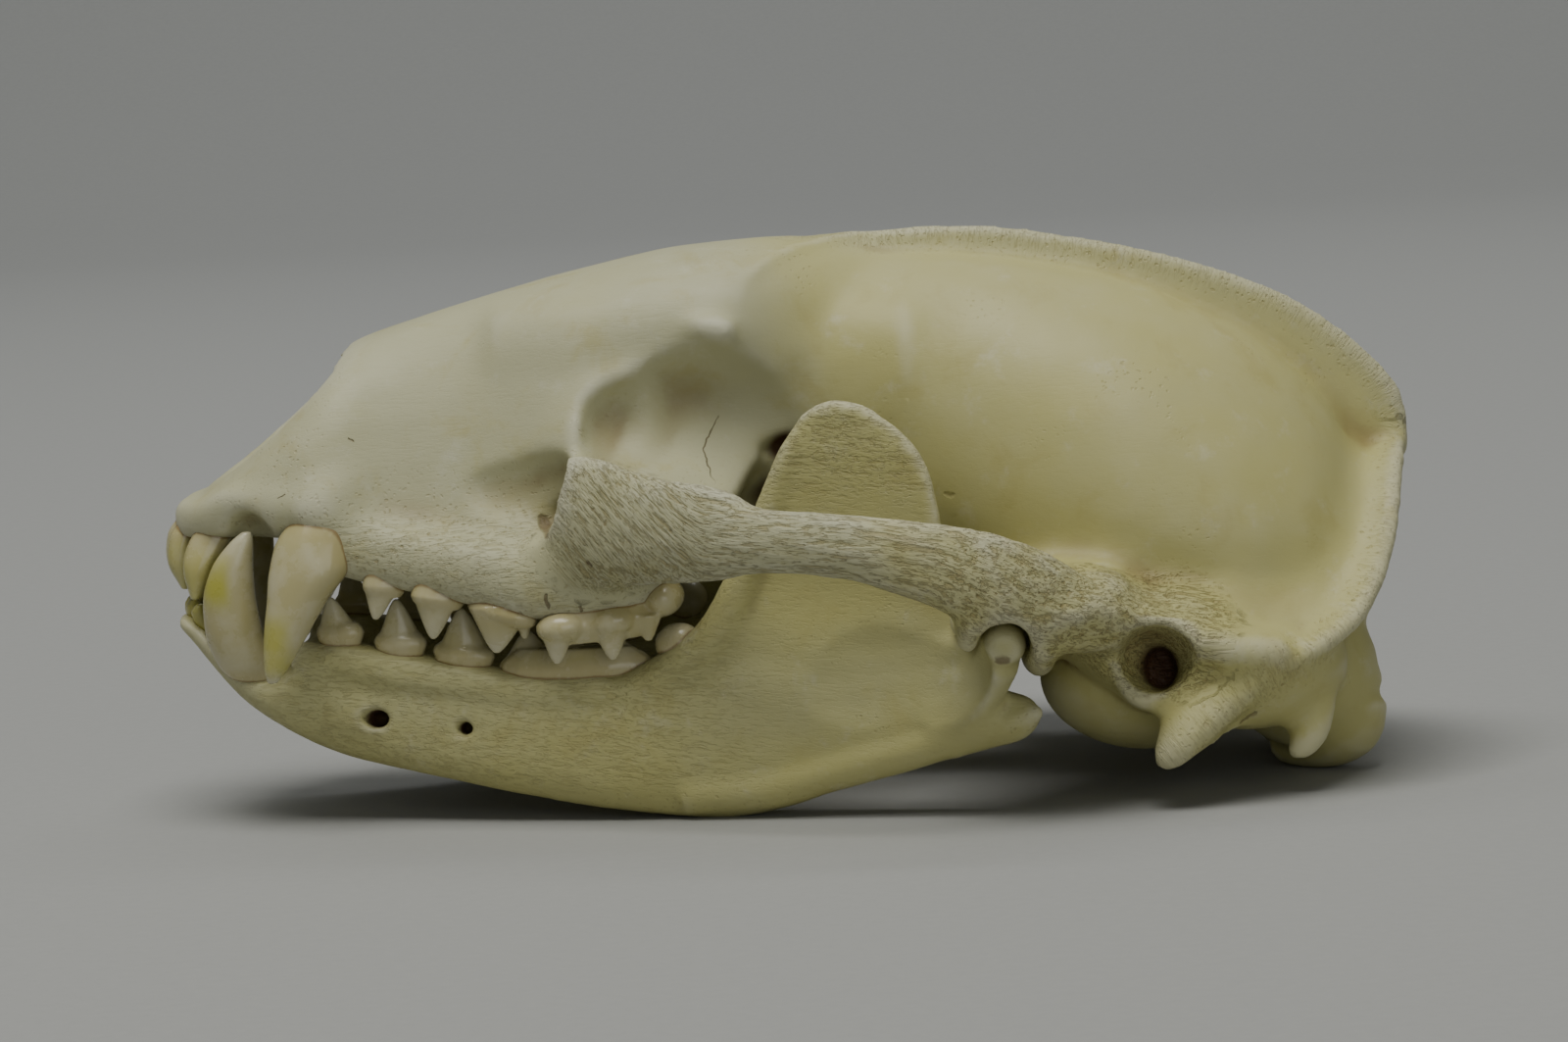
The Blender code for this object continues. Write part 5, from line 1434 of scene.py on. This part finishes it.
def bone_material():
    material, tree, shader, place = new_material("bone")
    tone_and_shade, amount = attribute(tree, "tone_and_shade"), attribute(tree, "fibre")
    crease, grain = attribute(tree, "crease"), attribute(tree, "grain", "Vector")
    fibres = noise(tree, grain, 2.0, 4.0, 0.62, 0.2)
    thin_fibres = noise(tree, grain, 4.6, 2.0, 0.5, 0.2)
    grooves = most(tree, ranged(tree, fibres, 0.46, 0.37), ranged(tree, thin_fibres, 0.44, 0.36))
    dips = ranged(tree, fibres, 0.56, 0.40)
    pores = bone_pores(tree, place)
    marks = all_marks(tree, place)

    # Each layer of colour covers the ones before it by its share.
    base = bone_base(tree, place, tone_and_shade)
    for share, colour in (
        (times(tree, dips, times(tree, amount, 0.28)), DEEP_BONE),
        (times(tree, grooves, times(tree, amount, 0.36)), GROOVE),
        (times(tree, pores, 0.5), GROOVE),
        # Painted shade: darker in the wide hollows of the skin.
        (ranged(tree, attribute(tree, "hollow"), 0.2, 2.2, 0.0, 0.7), HOLLOW_SHADE),
        # Painted shade: darker in the fine creases.
        (ranged(tree, crease, 0.10, 0.5, 0.0, 0.75), CREASE_SHADE),
        # Painted highlight: paler along sharp edges.
        (ranged(tree, crease, -0.10, -0.4, 0.0, 0.35), EDGE_HIGHLIGHT),
        (times(tree, marks, 0.7), MARK_BROWN),
        # Painted shade inside the openings.
        (attribute(tree, "hole_shade"), HOLE_SHADE),
    ):
        base = mixed(tree, share, base, colour)
    link(tree, base, shader.inputs["Base Color"])

    bumped(tree, shader, bone_relief(tree, place, amount, fibres, grooves, pores, marks), 0.9, 0.00022)
    rough = ranged(tree, noise(tree, place, 60.0, 3.0), 0.35, 0.65, 0.49, 0.60)
    rough = minus(tree, rough, times(tree, tone_and_shade, 0.05))
    link(tree, plus(tree, rough, times(tree, amount, 0.14), True), shader.inputs["Roughness"])
    shader.inputs["Specular IOR Level"].default_value = 0.42
    return material


def tooth_material():
    material, tree, shader, place = new_material("enamel")
    gum = attribute(tree, "gum")
    clouds = noise(tree, place, 260.0, 4.0, 0.6)
    uneven_gum = plus(tree, gum, times(tree, minus(tree, clouds, 0.5), 0.5))
    patch = ranged(tree, noise(tree, place, 150.0, 3.0), 0.3, 0.6, 0.45, 1.0)

    # Each layer of colour covers the ones before it by its share.
    base = ENAMEL
    for share, colour in (
        (ranged(tree, clouds, 0.4, 0.7), ENAMEL_PALE),
        (times(tree, attribute(tree, "tip"), 0.55), ENAMEL_TIP),
        (ranged(tree, gum, 2.2, 0.5, 0.0, 0.35), ENAMEL_NECK),
        (ranged(tree, uneven_gum, 0.30, 0.06, 0.0, 0.62), GUM_STAIN_AND_CREASE_SHADE),
        (times(tree, attribute(tree, "stain"), patch), STAIN),
        # Painted shade in the creases of the crown.
        (ranged(tree, attribute(tree, "crease"), 0.05, 0.3, 0.0, 0.55), GUM_STAIN_AND_CREASE_SHADE),
    ):
        base = mixed(tree, share, base, colour)
    link(tree, base, shader.inputs["Base Color"])

    bumped(tree, shader, noise(tree, place, 500.0, 3.0), 0.4, 0.00008)
    link(tree, ranged(tree, clouds, 0.3, 0.7, 0.2, 0.34), shader.inputs["Roughness"])
    shader.inputs["Specular IOR Level"].default_value = 0.5
    shader.inputs["Coat Weight"].default_value = 0.25
    shader.inputs["Coat Roughness"].default_value = 0.12
    return material


def floor_material():
    material, tree, shader, place = new_material("floor")
    speckle = noise(tree, place, 700.0, 2.0)
    link(tree, mixed(tree, speckle, FLOOR_GREY, FLOOR_PALE), shader.inputs["Base Color"])
    shader.inputs["Roughness"].default_value = 0.7
    return material


# Pieces

def placed(obj, material, body, nodes):
    """Scales a piece to metres and hands it to the frame."""
    obj.data.transform(Matrix.Scale(MM, 4))
    obj.data.materials.clear()
    obj.data.materials.append(material)
    obj.data.shade_smooth()
    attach(obj, body)
    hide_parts(*nodes)
    return obj


def bulla():
    return ellipsoid("bulla", BULLA_CENTRE, BULLA_RADII, (0, 10, 20), detail=40)


def cranium_piece(jaw):
    """The cranium and its ear bones as one skin, in millimetres."""
    skin = combined(cranium_skin(), pair(grown(jaw, JAW_CLEARANCE)), "DIFFERENCE")
    skin = fused("cranium", [skin, *pair(bulla())], SKIN_VOXEL, SKIN_SOFTENING)
    skin = combined(skin, [floor_cut()], "DIFFERENCE")
    skin = largest_part(thinned(skin, CRANIUM_TRIANGLES))
    skin.name = "cranium"
    return skin


def jaw_piece(jaw):
    """The left half of the lower jaw, in millimetres."""
    skin = fused("mandible_left_bone", [jaw], JAW_SKIN_VOXEL, JAW_SOFTENING)
    skin = combined(
        skin, [box("midline_cut", (-90, -GAP / 2, -20), (90, 40, 80)), floor_cut()], "DIFFERENCE",
    )
    skin = largest_part(thinned(skin, JAW_TRIANGLES))
    skin.name = "mandible_left_bone"
    return skin


def dress_cranium(skin, material):
    grain, amount = grain_of_cranium(points_of(skin))
    roughened(skin, grain, amount)
    points = points_of(skin)
    store(skin, "grain", grain)
    store(skin, "fibre", amount)
    store(skin, "pitted", pits_of_cranium(points))
    store(skin, "tone_and_shade", tone_and_shade_of_cranium(points))
    # Painted shade in the creases, and a painted highlight on sharp edges, are read from this value.
    store(skin, "crease", hollowness(skin, CREASE_ROUNDS))
    # Painted shade in the wide hollows is read from this value.
    store(skin, "hollow", hollowness(skin, HOLLOW_ROUNDS))
    # Painted shade inside the openings.
    store(skin, "hole_shade", hole_shade_of(points, SHADED_OPENINGS))
    nodes = ["face", "braincase"]
    for side in ("left", "right"):
        nodes += [f"zygomatic_arch_{side}", f"auditory_bulla_{side}"]
    placed(skin, material, "root", nodes)


def dress_jaw(jaw, material):
    points = points_of(jaw)
    x, y, z = points.T
    grain = np.column_stack([x * 0.2, y, z * 1.1 + 0.1 * x])
    body = step(x, 2.0, -12.0) * step(x, -62, -54) * step(z, 2.0, 5.0)
    tip = step(z, 30.0, 38.0)
    amount = np.clip(body * 0.26 + tip * 0.5 + 0.08, 0, 1)
    roughened(jaw, grain, amount * 0.6)
    store(jaw, "grain", grain)
    store(jaw, "fibre", amount)
    store(jaw, "pitted", step(z, 5.0, 2.0) * 0.4 + step(x, 18.0, 23.0) * step(z, 13.0, 10.0) * 0.6)
    # Painted shade: the jaw is pushed towards the yellower, darker tone at its lower border and up on the
    # coronoid.
    store(jaw, "tone_and_shade", np.clip(0.62 + step(z, 14.0, 3.0) * 0.38 + step(z, 12, 26) * 0.38, 0, 1))
    # Painted shade in the creases, and a painted highlight on sharp edges, are read from this value.
    store(jaw, "crease", hollowness(jaw, CREASE_ROUNDS))
    # Painted shade in the wide hollows is read from this value.
    store(jaw, "hollow", hollowness(jaw, HOLLOW_ROUNDS))
    # Painted shade inside the openings.
    store(jaw, "hole_shade", hole_shade_of(points, SHADED_JAW_OPENINGS))
    placed(jaw, material, "root", ["mandible_left"])
    right = mirrored(jaw, "mandible_right_bone")
    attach(right, "root")
    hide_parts("mandible_right")


# How far from the bone the gum distance is still measured, in millimetres
GUM_REACH = 6.0


def gum_distance(points, bones):
    """How far each point of a tooth stands clear of the bone that holds it."""
    far = np.full(len(points), 1e9)
    for bone_tree in bones:
        for i, point in enumerate(points):
            _, _, _, gap = bone_tree.find_nearest(point, GUM_REACH)
            if gap is not None:
                far[i] = min(far[i], gap)
    return np.minimum(far, GUM_REACH)


def finish_tooth(obj, material, node_name, bones):
    """Stores how far each point is from the gum edge, and where the enamel is stained."""
    points = points_of(obj)
    x, y, z = points.T
    upper = "upper" in obj.name
    tip = z.min() if upper else z.max()
    from_tip = np.abs(z - tip)
    store(obj, "gum", gum_distance(points, bones))
    store(obj, "tip", step(from_tip, 3.0, 0.0))
    stained = np.zeros(len(points))
    if "canine_upper" in obj.name:
        stained = step(from_tip, 8.5, 4.0) * step(from_tip, 0.0, 2.0) * step(x, -50.6, -52.4)
    elif "canine_lower" in obj.name:
        stained = step(from_tip, 9.0, 6.0) * step(from_tip, 1.5, 3.5) * step(x, -57.2, -58.6) * 0.9
    elif "incisor" in obj.name:
        stained = step(from_tip, 6.5, 3.0) * 0.7
    store(obj, "stain", stained)
    # Painted shade in the creases of the crown is read from this value.
    store(obj, "crease", hollowness(obj, TOOTH_CREASE_ROUNDS))
    placed(obj, material, "root", [node_name])


def make_teeth(material, bones):
    """bones holds the cranium and the left jaw in millimetres, as search trees."""
    for teeth, jaw in ((upper_teeth(), "cranium"), (lower_teeth(), "jaw")):
        for left in teeth:
            name = left.name
            left.name = name + "_left"
            node_name = "face" if jaw == "cranium" else "mandible_left"
            finish_tooth(left, material, node_name, [bones[jaw]])
            right = mirrored(left, name + "_right")
            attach(right, "root")
            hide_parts(node_name.replace("left", "right"))


# Camera, light and floor

ELEVATION = math.radians(6.5)
ROLL = math.radians(3.031)
CAMERA_PLACE = (0.0030619, -0.596143, 0.095604)
LENS = 130.95


def rolled(vector):
    """A direction of the level photo, turned so that jaw and neck condyles rest on the floor."""
    x, y, z = vector
    return Vector((x * math.cos(ROLL) + z * math.sin(ROLL), y, -x * math.sin(ROLL) + z * math.cos(ROLL)))


def make_camera():
    camera = bpy.data.objects.new("camera", bpy.data.cameras.new("camera"))
    bpy.context.scene.collection.objects.link(camera)
    right = rolled((1, 0, 0))
    up = rolled((0, math.sin(ELEVATION), math.cos(ELEVATION)))
    ahead = rolled((0, math.cos(ELEVATION), -math.sin(ELEVATION)))
    camera.matrix_world = Matrix.Translation(CAMERA_PLACE) @ Matrix(
        (right, up, -ahead)
    ).transposed().to_4x4()
    camera.data.sensor_width = 36.0
    camera.data.lens = LENS
    camera.data.clip_start = 0.01
    bpy.context.scene.camera = camera


def area_light(name, place, target, size, watts, colour):
    light = bpy.data.lights.new(name, "AREA")
    light.shape = "RECTANGLE"
    light.size, light.size_y = size
    light.energy = watts
    light.color = colour
    obj = bpy.data.objects.new(name, light)
    bpy.context.scene.collection.objects.link(obj)
    obj.location = place
    obj.rotation_euler = (Vector(target) - Vector(place)).to_track_quat("-Z", "Y").to_euler()


def make_lights():
    area_light("overhead", (-0.10, -0.22, 0.85), (0, 0, 0.03), (0.62, 0.5), 6.9, (1.0, 0.985, 0.95))
    area_light("front_fill", (0.32, -0.95, 0.22), (0, 0, 0.02), (0.7, 0.5), 1.6, (0.96, 0.98, 1.0))
    area_light("backdrop_light", (0, 0.55, 0.9), (0, 1.35, 0.0), (1.4, 0.4), 6.0, (0.98, 0.99, 1.0))
    world = bpy.data.worlds.new("studio")
    world.use_nodes = True
    sky = world.node_tree.nodes["Background"]
    sky.inputs["Color"].default_value = (0.80, 0.82, 0.83, 1.0)
    sky.inputs["Strength"].default_value = 0.14
    bpy.context.scene.world = world


def make_floor():
    """A pale sheet that lies flat under the skull and sweeps up behind it."""
    front, start, bend = -1.6, 0.95, 0.8
    half_width, parts = 2.4, 16
    profile = [(front, 0.0), (start, 0.0)]
    for part in range(1, parts + 1):
        angle = math.radians(90 * part / parts)
        profile.append((start + bend * math.sin(angle), bend - bend * math.cos(angle)))
    points, faces = [], []
    for y, z in profile:
        points += [(-half_width, y, z), (half_width, y, z)]
    for row in range(len(profile) - 1):
        a = 2 * row
        faces.append((a, a + 1, a + 3, a + 2))
    floor = object_of("floor", points, faces)
    floor.data.materials.append(floor_material())
    floor.data.shade_smooth()


def search_tree(obj):
    made = bmesh.new()
    made.from_mesh(obj.data)
    tree = BVHTree.FromBMesh(made)
    made.free()
    return tree


def main():
    jaw_model = jaw_skin()
    cranium = cranium_piece(jaw_model)
    jaw = jaw_piece(jaw_model)
    bones = {"cranium": search_tree(cranium), "jaw": search_tree(jaw)}
    bone = bone_material()
    dress_cranium(cranium, bone)
    dress_jaw(jaw, bone)
    make_teeth(tooth_material(), bones)
    make_floor()
    make_camera()
    make_lights()


main()
